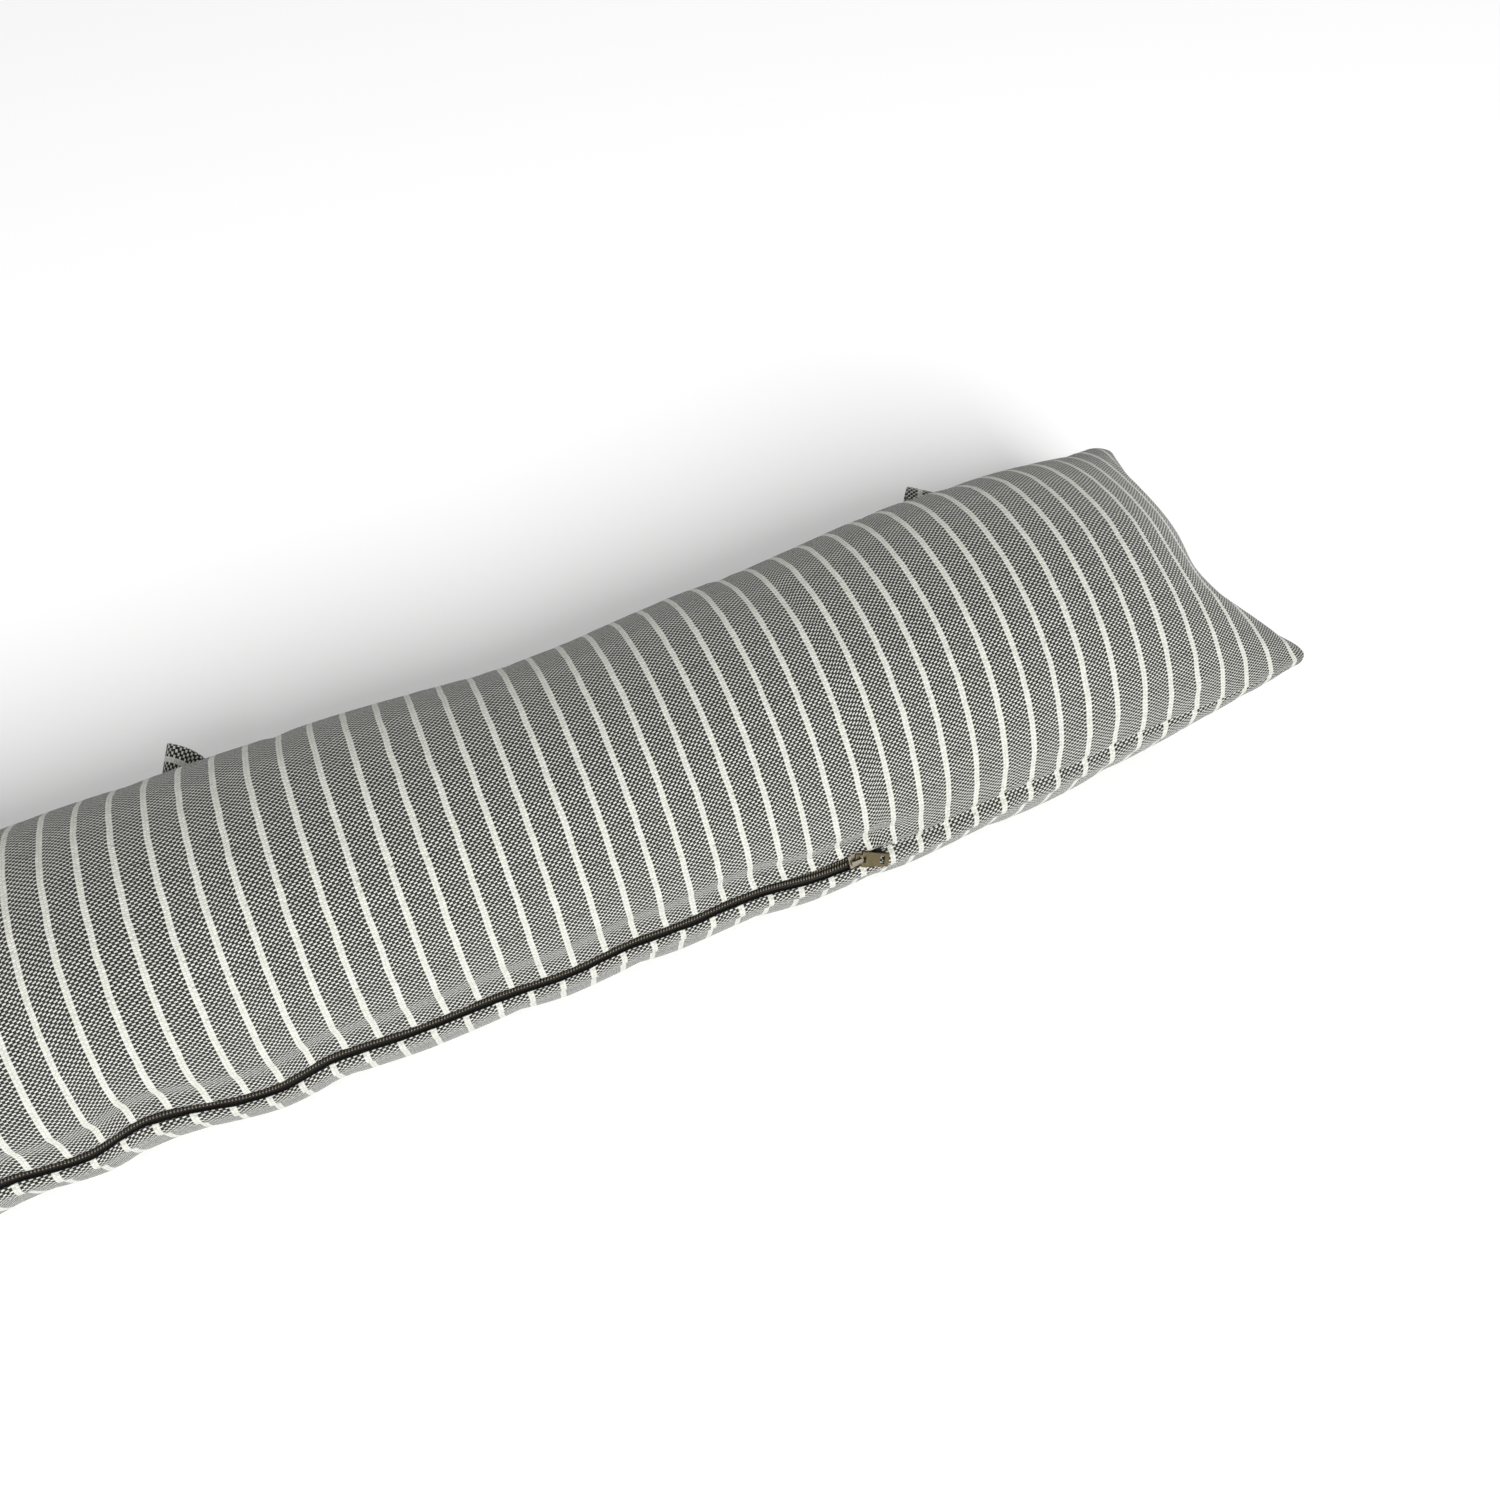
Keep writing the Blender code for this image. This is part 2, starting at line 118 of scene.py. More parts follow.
# %% [markdown]
# The cloth is a plain weave, the simplest one: each yarn goes over one neighbour and under
# the next. Pale yarns run along the tube and charcoal yarns run around it, so the face is
# a chequerboard of pale ovals on dark. Every eleventh and twelfth yarn around the tube is
# pale too, and there the cloth shows a narrow ivory stripe. The pattern is worked out from
# the height of both yarns at each point: the higher one shows. It reads the UV map, which
# holds metres of cloth, so the yarns bend with the surface as real ones do.

# %% Plain weave
PITCH = 0.0137
YARNS_A_PITCH = 11
YARN_ALONG = PITCH / YARNS_A_PITCH
YARN_AROUND = 0.831 * YARN_ALONG
STRIPE_SHIFT = 0.600
PALE_HALF = 0.33
YARN_TWIST = 0.21


def math_node(tree, operation, a, b=None, c=None):
    """Math node on sockets or numbers, and its result."""
    node = tree.nodes.new("ShaderNodeMath")
    node.operation = operation
    for i, value in enumerate((a, b, c)):
        if value is None:
            continue
        if isinstance(value, (int, float)):
            node.inputs[i].default_value = value
        else:
            tree.links.new(value, node.inputs[i])
    return node.outputs[0]


def mix_colour(tree, share, first, second, blend="MIX"):
    """Colour mix of two colours or sockets."""
    node = tree.nodes.new("ShaderNodeMix")
    node.data_type = "RGBA"
    node.blend_type = blend
    for socket, value in ((node.inputs[0], share), (node.inputs[6], first), (node.inputs[7], second)):
        if isinstance(value, (int, float, tuple)):
            socket.default_value = value
        else:
            tree.links.new(value, socket)
    return node.outputs[2]


def woven_cloth():
    """Plain weave of pale and charcoal yarn with pale stripes, and painted shade in the valleys between
    yarns.
    """
    material, tree, shader = new_material("plain_weave_cotton", 0.88)
    uv = add_node(tree, "ShaderNodeUVMap", {"uv_map": "cloth"})
    wobble = add_node(tree, "ShaderNodeTexNoise", values={"Scale": 90.0, "Detail": 2.0},
                      links={"Vector": uv.outputs["UV"]})
    drift = add_node(tree, "ShaderNodeVectorMath", {"operation": "MULTIPLY_ADD"},
                     {1: (0.0011, 0.0011, 0.0), 2: (-0.00055, -0.00055, 0.0)}, {0: wobble.outputs["Color"]})
    moved = add_node(tree, "ShaderNodeVectorMath", {"operation": "ADD"},
                     links={0: uv.outputs["UV"], 1: drift.outputs[0]})
    parts = add_node(tree, "ShaderNodeSeparateXYZ", links={"Vector": moved.outputs[0]})
    across = math_node(tree, "DIVIDE", parts.outputs["X"], YARN_ALONG)
    around = math_node(tree, "DIVIDE", parts.outputs["Y"], YARN_AROUND)
    column = math_node(tree, "FLOOR", across)
    row = math_node(tree, "FLOOR", around)
    fx = math_node(tree, "SUBTRACT", math_node(tree, "SUBTRACT", across, column), 0.5)
    fy = math_node(tree, "SUBTRACT", math_node(tree, "SUBTRACT", around, row), 0.5)
    parity = math_node(tree, "FLOORED_MODULO", math_node(tree, "ADD", column, row), 2.0)
    sign = math_node(tree, "MULTIPLY_ADD", parity, -2.0, 1.0)

    def wave(f):
        return math_node(tree, "COSINE", math_node(tree, "MULTIPLY", f, math.pi))

    def rounded(f, half):
        ratio = math_node(tree, "DIVIDE", f, half)
        rest = math_node(tree, "SUBTRACT", 1.0, math_node(tree, "MULTIPLY", ratio, ratio))
        return math_node(tree, "SQRT", math_node(tree, "MAXIMUM", rest, 0.0))

    twisted = math_node(tree, "SUBTRACT", fy, math_node(tree, "MULTIPLY", fx, YARN_TWIST))
    outside = math_node(tree, "GREATER_THAN", math_node(tree, "ABSOLUTE", twisted), PALE_HALF)
    pale_height = math_node(tree, "ADD", math_node(tree, "MULTIPLY", sign, wave(fx)),
                            math_node(tree, "MULTIPLY", rounded(twisted, PALE_HALF), 1.05))
    pale_height = math_node(tree, "SUBTRACT", pale_height, math_node(tree, "MULTIPLY", outside, 1.4))
    dark_height = math_node(tree, "SUBTRACT", math_node(tree, "MULTIPLY", rounded(fx, 0.50), 0.60),
                            math_node(tree, "MULTIPLY", sign, math_node(tree, "MULTIPLY", wave(fy), 0.60)))
    lead = math_node(tree, "SUBTRACT", pale_height, dark_height)
    pale_on_top = add_node(tree, "ShaderNodeMapRange", {"clamp": True},
                           {"From Min": -0.12, "From Max": 0.12}, {"Value": lead}).outputs["Result"]
    height = math_node(tree, "MAXIMUM", pale_height, dark_height)

    in_pitch = math_node(tree, "FLOORED_MODULO", column, float(YARNS_A_PITCH))
    stripe = math_node(tree, "LESS_THAN", in_pitch, 1.5)

    column_noise = add_node(tree, "ShaderNodeTexWhiteNoise", {"noise_dimensions": "1D"},
                            links={"W": column})
    row_noise = add_node(tree, "ShaderNodeTexWhiteNoise", {"noise_dimensions": "1D"}, links={"W": row})
    cell = add_node(tree, "ShaderNodeCombineXYZ", links={"X": column, "Y": row})
    cell_noise = add_node(tree, "ShaderNodeTexWhiteNoise", {"noise_dimensions": "3D"},
                          links={"Vector": cell.outputs[0]})

    pale = mix_colour(tree, row_noise.outputs["Value"], linear("#ccccc5"), linear("#b9bab2"))
    dark = mix_colour(tree, column_noise.outputs["Value"], linear("#1d1f1c"), linear("#2d302c"))
    dark = mix_colour(tree, math_node(tree, "MULTIPLY", cell_noise.outputs["Value"], 0.5), dark,
                      linear("#121311"))
    ivory = mix_colour(tree, cell_noise.outputs["Value"], linear("#d8d8cf"), linear("#c6c7bc"))
    around_colour = mix_colour(tree, stripe, dark, ivory)
    speck = math_node(tree, "GREATER_THAN", cell_noise.outputs["Value"], 0.985)
    pale = mix_colour(tree, math_node(tree, "MULTIPLY", speck, 0.6), pale, linear("#8a8b82"))
    colour = mix_colour(tree, pale_on_top, around_colour, pale)

    # Painted shade: the colour is darkened where the yarns lie low, down to 40 percent, for the shade in
    # the valleys between them; stripe yarns are darkened to no less than 86 percent.
    low = add_node(tree, "ShaderNodeMapRange", {"clamp": True},
                   {"From Min": -0.2, "From Max": 1.2, "To Min": 0.40, "To Max": 1.0},
                   {"Value": height}).outputs["Result"]
    painted_valley_shade = math_node(tree, "MAXIMUM", low, math_node(tree, "MULTIPLY", stripe, 0.86))
    valley_shade_grey = add_node(tree, "ShaderNodeCombineColor",
                    links={"Red": painted_valley_shade, "Green": painted_valley_shade, "Blue": painted_valley_shade})
    colour = mix_colour(tree, 1.0, colour, valley_shade_grey.outputs[0], "MULTIPLY")
    tree.links.new(colour, shader.inputs["Base Color"])

    fibre = add_node(tree, "ShaderNodeTexNoise", values={"Scale": 2600.0, "Detail": 2.0},
                     links={"Vector": uv.outputs["UV"]})
    raised = math_node(tree, "MULTIPLY_ADD", stripe, 0.35, height)
    raised = math_node(tree, "MULTIPLY_ADD", fibre.outputs["Fac"], 0.25, raised)
    bump = add_node(tree, "ShaderNodeBump", values={"Strength": 0.8, "Distance": 0.00022},
                    links={"Height": raised})
    tree.links.new(bump.outputs["Normal"], shader.inputs["Normal"])
    shader.inputs["Sheen Weight"].default_value = 0.25
    shader.inputs["Sheen Roughness"].default_value = 0.5
    shader.inputs["Specular IOR Level"].default_value = 0.25
    return material


cloth = woven_cloth()
print("yarn spacing along and around, mm:", round(YARN_ALONG * 1e3, 3), round(YARN_AROUND * 1e3, 3))

# %% [markdown]
# The filled tube is one closed form. Its section is a rounded lens: two panels that meet in
# the long seams, a crown above and a belly below that the floor flattens. Towards each end
# the section closes to the end seam, the middle is drawn in and the corners stand out.
# The section is worked out here from the same named sizes as the CAD solid, because the
# finer mesh needs many more points than the solid has.

# %% Sizes of the filled tube
END_X = 0.4792
HALF_WIDTH = 0.0757
CROWN_RISE = 0.0690
BELLY_DROP = 0.0820
SEAM_HEIGHT = 0.0635
ROUNDNESS = 2.05
END_ROUNDNESS = 1.60
END_RUN = 0.142
FLOOR_BLEND = 0.006
EDGE_HALF = 0.0012
FRONT_EAR = 0.0239
BACK_EAR = 0.0133
END_NARROW = 0.058
END_SPREAD = 0.147
END_FALL = 2.47
END_FULL = 2.07
FRONT_CORNER = 0.0121
BACK_CORNER = 0.0149
HOLLOW = 0.0075
HOLLOW_Y = -0.0247
HOLLOW_HALF = 0.0257
FILLING = (
    (-0.480, 0.040, 0.0004),
    (-0.380, 0.038, 0.0010),
    (-0.220, -0.005, 0.0006),
    (-0.080, -0.043, 0.0023),
    (0.050, -0.029, 0.0003),
    (0.150, -0.048, -0.0037),
    (0.250, 0.001, -0.0018),
    (0.350, 0.047, 0.0011),
    (0.450, 0.045, 0.0016),
    (0.480, 0.045, 0.0016),
)
SEAM_LINE = (
    (-0.480, 0.0052), (-0.438, 0.0023), (-0.394, 0.0038), (-0.345, 0.0020), (-0.296, -0.0022),
    (-0.262, -0.0012), (-0.236, 0.0024), (-0.205, -0.0036), (-0.172, 0.0020), (-0.140, -0.0030),
    (-0.104, 0.0024), (-0.0755, -0.0042), (-0.047, 0.0055), (-0.003, -0.0075), (0.027, 0.0004),
    (0.064, -0.0038), (0.098, -0.0019), (0.120, -0.0034), (0.155, 0.0009), (0.173, -0.0002),
    (0.208, 0.0035), (0.244, -0.0025), (0.268, -0.0025), (0.284, -0.0036), (0.335, 0.0023),
    (0.362, 0.0020), (0.394, 0.0042), (0.438, 0.0023), (0.480, 0.0052),
)
WANDER_FADE = 0.020
SEAM_CREASE = 0.0016
CREASE_HALF = 0.0040
ZIP_HALF = 0.264
ZIP_BLEND = 0.010
GROOVE_DEPTH = 0.0040
UPPER_EDGE = 0.0009
SLIDER_EDGE = 0.0023
SLIDER_FADE = (0.042, 0.008)
LOWER_EDGE = 0.0041
WALL = 0.0022
LIP = 0.0020
LIP_TOP = 0.0007
LIP_UNDER = 0.0012
WALL_BEHIND = 0.0003
FOLD_ROUND = 0.00012
FOLD_POINTS = 7
PLAIN_STEP = 0.00018
PLAIN_EDGE = 0.0013
BEYOND = np.array([0.0003, 0.0006, 0.0010, 0.0016, 0.0024, 0.0034, 0.0048, 0.0066, 0.0088, 0.0113, 0.0145])
SLIDER_X = 0.2560
LEAN = 24.0
SLIDER_LEAN = 38.0
LEAN_REACH = (0.014, 0.090)
LEAN_BAND = (0.0050, 0.0180)
PLAIN_SEAM = (0.262, 0.292)
PLAIN_LEAN = 0.25


def smooth(low, high, x):
    """Smooth step from 0 at low to 1 at high, on numbers or arrays."""
    t = np.clip((x - low) / (high - low), 0.0, 1.0)
    return t * t * (3.0 - 2.0 * t)


def reading(table, x, column):
    """Value of one column of a table at a station, with smooth steps between its rows."""
    for row0, row1 in zip(table, table[1:]):
        if x <= row1[0]:
            share = float(smooth(row0[0], row1[0], x))
            return row0[column] + (row1[column] - row0[column]) * share
    return table[-1][column]


def filling(x, column):
    """Swell (1) or sway (2) of the filled tube at a station."""
    return reading(FILLING, x, column)


def closing(x):
    """0 along the tube, rising to 1 at an end seam."""
    return min(max((abs(x) - END_X + END_RUN) / END_RUN, 0.0), 1.0)


def half_width(x, side):
    """Distance from the axis to the front (side -1) or back (side 1) seam."""
    spread = -END_NARROW if side < 0 else END_SPREAD
    return HALF_WIDTH * (1.0 + filling(x, 1)) * (1.0 + spread * closing(x) ** 1.5)


def wander(x):
    """Height of the front seam above the mean height of the long seams."""
    return reading(SEAM_LINE, x, 1)


def lean(x):
    """Angle by which the front seam leans up at a station."""
    near = 1.0 - smooth(*LEAN_REACH, abs(x - SLIDER_X))
    return math.radians(LEAN + (SLIDER_LEAN - LEAN) * near) * (1.0 - closing(x))


def seam_point(x, out, up):
    """Point at a distance out from and up along the leaning front seam."""
    y = filling(x, 2) - half_width(x, -1.0)
    z = SEAM_HEIGHT + wander(x)
    c, s = math.cos(lean(x)), math.sin(lean(x))
    return Vector((x, y - out * c + up * s, z + out * s + up * c))


def end_reach(k, c, y, inset):
    """How far the cover stands out past a station near an end, with rounded corners and a dip."""
    front = c > 0.0
    ear = np.where(front, FRONT_EAR, BACK_EAR)
    corner = np.where(front, FRONT_CORNER, BACK_CORNER)
    missing = np.clip(corner - inset, 0.0, corner)
    rounding = corner - np.sqrt(corner ** 2 - missing ** 2)
    dip = HOLLOW * np.exp(-((y - HOLLOW_Y) / HOLLOW_HALF) ** 2)
    return ear * k ** 2 * np.abs(c) ** 3 - rounding * k ** 4 - dip * k ** 3


def section(x, angles, depth, detail=1.0):
    """Points of the tube's section at a station, for angles from the front seam over the crown."""
    k = closing(x)
    c, s = np.cos(angles), np.sin(angles)
    front = c > 0.0
    power = 2.0 / (ROUNDNESS + (END_ROUNDNESS - ROUNDNESS) * k ** 1.5)
    reach = np.where(front, half_width(x, -1.0), half_width(x, 1.0))
    y = -reach * np.sign(c) * np.abs(c) ** power
    stretch = end_reach(k, c, y, reach * (1.0 - np.abs(c) ** power))
    fullness = max(1.0 - k ** END_FALL, 0.0) ** (1.0 / END_FULL)
    rise = np.abs(s) ** power * fullness * (1.0 + filling(x, 1))
    z = np.where(s >= 0.0, CROWN_RISE, -BELLY_DROP) * rise
    z = z + np.sign(np.where(np.abs(s) > 1e-9, s, 0.0)) * EDGE_HALF * smooth(0.75, 1.0, k)
    share = (1.0 - smooth(*LEAN_BAND, np.abs(z))) * detail
    plain = np.where(s > 0.0, 1.0 - (1.0 - PLAIN_LEAN) * smooth(*PLAIN_SEAM, abs(x)), 1.0)
    tilt = lean(x) * share * plain
    inward = y + reach + depth
    wave = wander(x) * np.exp(-(y + reach) / WANDER_FADE)
    y_front = -reach + inward * np.cos(tilt) + z * np.sin(tilt)
    z_front = z * np.cos(tilt) - inward * np.sin(tilt) * share + wave
    y = np.where(front, y_front, y - depth) + filling(x, 2)
    z = np.where(front, z_front, z) + SEAM_HEIGHT
    soft_floor = np.where(z > -FLOOR_BLEND, (z + FLOOR_BLEND) ** 2 / (4.0 * FLOOR_BLEND), 0.0)
    z = np.where(z < FLOOR_BLEND, soft_floor, z)
    return np.stack([x + math.copysign(1.0, x) * stretch, y, z], -1)


def front_profile(edge, opened):
    """Heights and depths of one panel from the front seam line out, with a folded edge where it is open."""
    wall = max(edge + WALL_BEHIND, WALL)
    plain_heights = np.concatenate([np.arange(FOLD_POINTS) * PLAIN_STEP, PLAIN_EDGE + BEYOND])
    plain = SEAM_CREASE * (1.0 - smooth(0.0, CREASE_HALF, plain_heights))
    back = edge + FOLD_ROUND
    heights = np.concatenate([[0.0, 0.5 * wall, wall, wall, back, edge, back], edge + BEYOND])
    floor = [GROOVE_DEPTH] * 3
    fold = [0.5 * (GROOVE_DEPTH + LIP_UNDER), LIP_UNDER, 0.5 * (LIP_UNDER + LIP_TOP), LIP_TOP]
    depths = np.concatenate([floor, fold, LIP_TOP * (1.0 - smooth(0.0, LIP, BEYOND))])
    return plain_heights + (heights - plain_heights) * opened, plain + (depths - plain) * opened


# %% [markdown]
# Real filling pushes a cover out between its seams and the seams hold it back, which is
# what puckers the cloth. Blender's Cloth does the same: the seams, the end seams and the
# underside are pinned, the cloth is a little larger than its shape, and air pressure fills
# it. It runs on a coarse copy of the tube, and only its folds are carried over to the fine
# mesh, so the outline stays where the photograph has it.

# %% Simulate the filling
SIM_STATIONS = 230
SIM_PANEL = 46
SIM_CAP = 0.0045
FOLD_SHARE = 0.36


def station_list(count, end_share=0.16):
    """Stations along the tube, closer together where the ends close."""
    body = END_X - END_RUN
    ends = int(count * end_share)
    middle = np.linspace(-body, body, count - 2 * ends)
    right = body + END_RUN * np.sin(0.5 * np.pi * np.arange(1, ends + 1) / ends)
    return np.concatenate([-right[::-1], middle, right])


def tube_faces(rows, count):
    """Faces of a tube of closed rings, its two flat ends folded shut."""
    faces = []
    for i in range(rows - 1):
        for j in range(count):
            k = (j + 1) % count
            faces.append((i * count + j, i * count + k, (i + 1) * count + k, (i + 1) * count + j))
    half = count // 2
    for start, flip in ((0, False), ((rows - 1) * count, True)):
        for j in range(half):
            ring = [start + j, start + j + 1, start + count - j - 1, start + (count - j) % count]
            ring = [v for n, v in enumerate(ring) if v not in ring[:n]]
            faces.append(tuple(reversed(ring)) if not flip else tuple(ring))
    return faces


def mesh_object(name, points, faces):
    """New mesh object in the scene, its faces turned outwards."""
    mesh = bpy.data.meshes.new(name)
    mesh.from_pydata([tuple(p) for p in points], [], faces)
    work = bmesh.new()
    work.from_mesh(mesh)
    if work.calc_volume(signed=True) < 0.0:
        bmesh.ops.reverse_faces(work, faces=work.faces)
    work.to_mesh(mesh)
    work.free()
    obj = bpy.data.objects.new(name, mesh)
    scene.collection.objects.link(obj)
    return obj


def simulate_folds():
    """Folds of the filled cover, as offsets on a grid of stations and section angles."""
    xs = station_list(SIM_STATIONS)
    upper = np.linspace(0.0, np.pi, SIM_PANEL, endpoint=False)
    angles = np.concatenate([upper, upper + np.pi])
    rest = np.stack([section(x, angles, 0.0, 0.0) for x in xs])
    shape = rest.reshape(-1, 3)
    body = mesh_object("filling_trial", shape, tube_faces(len(xs), len(angles)))
    held = body.vertex_groups.new(name="held")
    index = np.arange(len(shape)).reshape(len(xs), len(angles))
    seams = set(index[:, 0]) | set(index[:, SIM_PANEL]) | set(index[0]) | set(index[-1])
    floor_side = set(np.nonzero(shape[:, 2] < 0.0008)[0])
    held.add([int(i) for i in sorted(seams | floor_side)], 1.0, "REPLACE")
    cloth_modifier = body.modifiers.new("filling", "CLOTH")
    settings = cloth_modifier.settings
    settings.quality = 6
    settings.mass = 0.25
    settings.tension_stiffness = 12.0
    settings.compression_stiffness = 12.0
    settings.shear_stiffness = 4.0
    settings.bending_stiffness = 0.25
    settings.vertex_group_mass = "held"
    settings.shrink_min = -0.015
    settings.use_pressure = True
    settings.uniform_pressure_force = 4.0
    settings.effector_weights.gravity = 0.0
    cloth_modifier.collision_settings.use_collision = False
    cloth_modifier.point_cache.frame_start = 1
    cloth_modifier.point_cache.frame_end = 20
    for step in range(1, 21):
        scene.frame_set(step)
    settled = body.evaluated_get(bpy.context.evaluated_depsgraph_get()).to_mesh()
    moved = np.empty(len(shape) * 3)
    settled.vertices.foreach_get("co", moved)
    offsets = (moved.reshape(-1, 3) - shape).reshape(rest.shape)
    scene.frame_set(1)
    bpy.data.objects.remove(body, do_unlink=True)
    return xs, angles, offsets


def soften(field, rounds):
    """Field on the grid after neighbour averaging, closed around the section."""
    for _ in range(rounds):
        around = 0.5 * (np.roll(field, 1, 1) + np.roll(field, -1, 1))
        along = field.copy()
        along[1:-1] = 0.5 * (field[2:] + field[:-2])
        field = 0.5 * field + 0.25 * around + 0.25 * along
    return field


clock = time.perf_counter()
sim_x, sim_angles, offsets = simulate_folds()
print("simulated offsets, mm: mean", round(float(np.abs(offsets).mean()) * 1e3, 2),
      "largest", round(float(np.linalg.norm(offsets, axis=-1).max()) * 1e3, 2))
folds = offsets - soften(offsets, 260)
length = np.linalg.norm(folds, axis=-1, keepdims=True) + 1e-9
folds = FOLD_SHARE * folds / length * SIM_CAP * np.tanh(length / SIM_CAP)
print("folds kept, mm: largest", round(float(np.linalg.norm(folds, axis=-1).max()) * 1e3, 2),
      "seconds", round(time.perf_counter() - clock, 1))

# %% [markdown]
# The fine mesh follows the same section, now with the zip groove between its two folded
# edges, plain seam creases elsewhere, and the simulated folds on top. The upper edge is
# folded over the coil and the lower one stands back, so a dark band shows below the coil: the tape, and the
# groove's cloth floor and walls in the tape's finish as painted shade.
# Small gathers are added along the seams, because thread pulls the cloth up at every stitch.

# %% Fine cover mesh
FINE_STATIONS = 560
GATHER = 0.0006
PUCKER = 0.0016
PUCKER_X = 0.2725
BACK_ANGLES = np.pi - np.array([0.20, 0.16, 0.12, 0.085, 0.055, 0.03, 0.012])
PANEL_MIDDLE = 60


def panel_line(edge, opened, tall):
    """Section angles, heights and depths of one panel from the front seam to the back seam."""
    heights, depths = front_profile(edge, opened)
    start = np.arcsin((heights / tall) ** (ROUNDNESS / 2.0))
    middle = np.linspace(start[-1], BACK_ANGLES[0], PANEL_MIDDLE + 2)[1:-1]
    rest = len(middle) + len(BACK_ANGLES)
    return (np.concatenate([start, middle, BACK_ANGLES]), np.concatenate([heights, np.ones(rest)]),
            np.concatenate([depths, np.zeros(rest)]))


def sample_folds(x, angles):
    """Simulated folds at a station, on the fine angles."""
    i = int(np.clip(np.searchsorted(sim_x, x) - 1, 0, len(sim_x) - 2))
    share = np.clip((x - sim_x[i]) / (sim_x[i + 1] - sim_x[i]), 0.0, 1.0)
    ring = folds[i] * (1.0 - share) + folds[i + 1] * share
    a = np.mod(angles, 2.0 * np.pi)
    wrapped = np.concatenate([sim_angles, [2.0 * np.pi]])
    return np.stack([np.interp(a, wrapped, np.append(ring[:, c], ring[0, c])) for c in range(3)], -1)


def gathers(x, upper):
    """Small puckers along a seam at a station, as a share from -1 to 1."""
    seed = 3.1 if upper else 17.7
    coarse = noise.noise(Vector((x * 60.0, seed, 0.0)))
    fine = noise.noise(Vector((x * 170.0, seed, 5.0)))
    return 0.8 * coarse + 0.5 * fine


fine_x = station_list(FINE_STATIONS)


def zip_open(x):
    """1 along the zip, 0 where the seam is plain."""
    return (1.0 - smooth(ZIP_HALF, ZIP_HALF + ZIP_BLEND, np.abs(x)))


rings, rises = [], []
for x in fine_x:
    k = closing(x)
    opened = float(zip_open(x)) * (1.0 - k)
    shut = 1.0 - 0.85 * smooth(0.5, 1.0, k)
    fade = SLIDER_FADE[0] if x < SLIDER_X else SLIDER_FADE[1]
    near_slider = 1.0 - float(smooth(0.0, fade, abs(x - SLIDER_X)))
    upper_edge = UPPER_EDGE + (SLIDER_EDGE - UPPER_EDGE) * near_slider
    upper = panel_line(upper_edge, opened, CROWN_RISE)
    lower = panel_line(LOWER_EDGE, opened, BELLY_DROP)
    ring_angles = np.concatenate([upper[0], [np.pi], -lower[0][:0:-1]])
    ring_heights = np.concatenate([upper[1], [1.0], lower[1][:0:-1]])
    depth = np.concatenate([upper[2], [0.0], lower[2][:0:-1]]) * shut
    ring_upper = np.arange(len(ring_angles)) <= len(upper[0])
    ring_edge = np.where(ring_upper, upper_edge, LOWER_EDGE)
    ring_tall = np.where(ring_upper, CROWN_RISE, BELLY_DROP)
    ring_rise = ring_tall * np.abs(np.sin(ring_angles)) ** (2.0 / ROUNDNESS)
    ring_front = np.cos(ring_angles) > 0.0
    rises.append(ring_rise)
    back_near = np.clip(1.0 - np.abs(np.abs(ring_angles) - np.pi) / 0.10, 0.0, 1.0)
    depth = depth + SEAM_CREASE * back_near ** 2 * shut
    ring = section(x, ring_angles, depth)
    near_front = np.exp(-((ring_rise - ring_edge * opened) / 0.010) ** 2) * ring_front
    near_front = near_front * np.where(ring_heights < ring_edge, 0.0 if opened > 0.5 else 1.0, 1.0)
    pull = np.where(ring_upper, gathers(x, True), gathers(x, False))
    outward = ring - np.array([ring[0, 0], filling(x, 2), SEAM_HEIGHT])
    outward[:, 0] = 0.0
    outward /= np.linalg.norm(outward, axis=1, keepdims=True) + 1e-9
    pucker = math.exp(-((x - PUCKER_X) / 0.0045) ** 2) * np.exp(-((ring_rise - 0.0045) / 0.0030) ** 2)
    lift = GATHER * pull * near_front * (1.0 - k) + PUCKER * pucker * ring_front * ring_upper
    ring = ring + outward * lift[:, None]
    calm = np.where((ring_heights < ring_edge + LIP) & (opened > 0.01), 0.25, 1.0)
    ring = ring + sample_folds(x, ring_angles) * calm[:, None]
    ring[:, 2] = np.maximum(ring[:, 2], 0.0)
    rings.append(ring)
rings, rises = np.stack(rings), np.stack(rises)
print("fine cover:", rings.shape[0], "stations,", rings.shape[1], "points each")

# %% [markdown]
# The UV map measures cloth in metres. Along the tube it follows the length of the surface,
# so stripes stay evenly spaced where the ends curve down. Around the tube it follows each
# panel from its crown or belly line out to both seams. The lower panel was sewn in half a
# stripe out of step along the zip, as the photograph shows. The cloth above the zip is pulled
# a little sideways where it is sewn to the tape, most of all around the slider. The stripes
# also drift slowly along the tube, as the cloth was stretched unevenly over the filling.
# Where the zip is open, the floor of its groove and the walls under its folded edges take the tape's
# near-black finish: the real tape, and painted shade for the deep gap where that floor and those walls are
# cloth.

# %% Cloth coordinates
STRIPE_SLANT = 0.035
PANEL_WIDTH = 0.236
SIDE_PULL = 0.0016
SLIDER_PULL = 0.0024
PULL_FADE = 0.018
CLOTH_DRIFT = (
    (-0.480, 0.0016), (0.012, 0.0016), (0.030, 0.0014), (0.046, 0.0012), (0.063, 0.0010), (0.080, 0.0006),
    (0.097, 0.0004), (0.114, 0.0003), (0.150, 0.0003), (0.167, 0.0004), (0.185, 0.0007), (0.204, 0.0013),
    (0.222, 0.0018), (0.241, 0.0021), (0.261, 0.0024), (0.280, 0.0026), (0.300, 0.0025), (0.320, 0.0023),
    (0.340, 0.0016), (0.360, 0.0009), (0.380, -0.0008), (0.406, -0.0030), (0.433, -0.0065),
    (0.480, -0.0070),
)


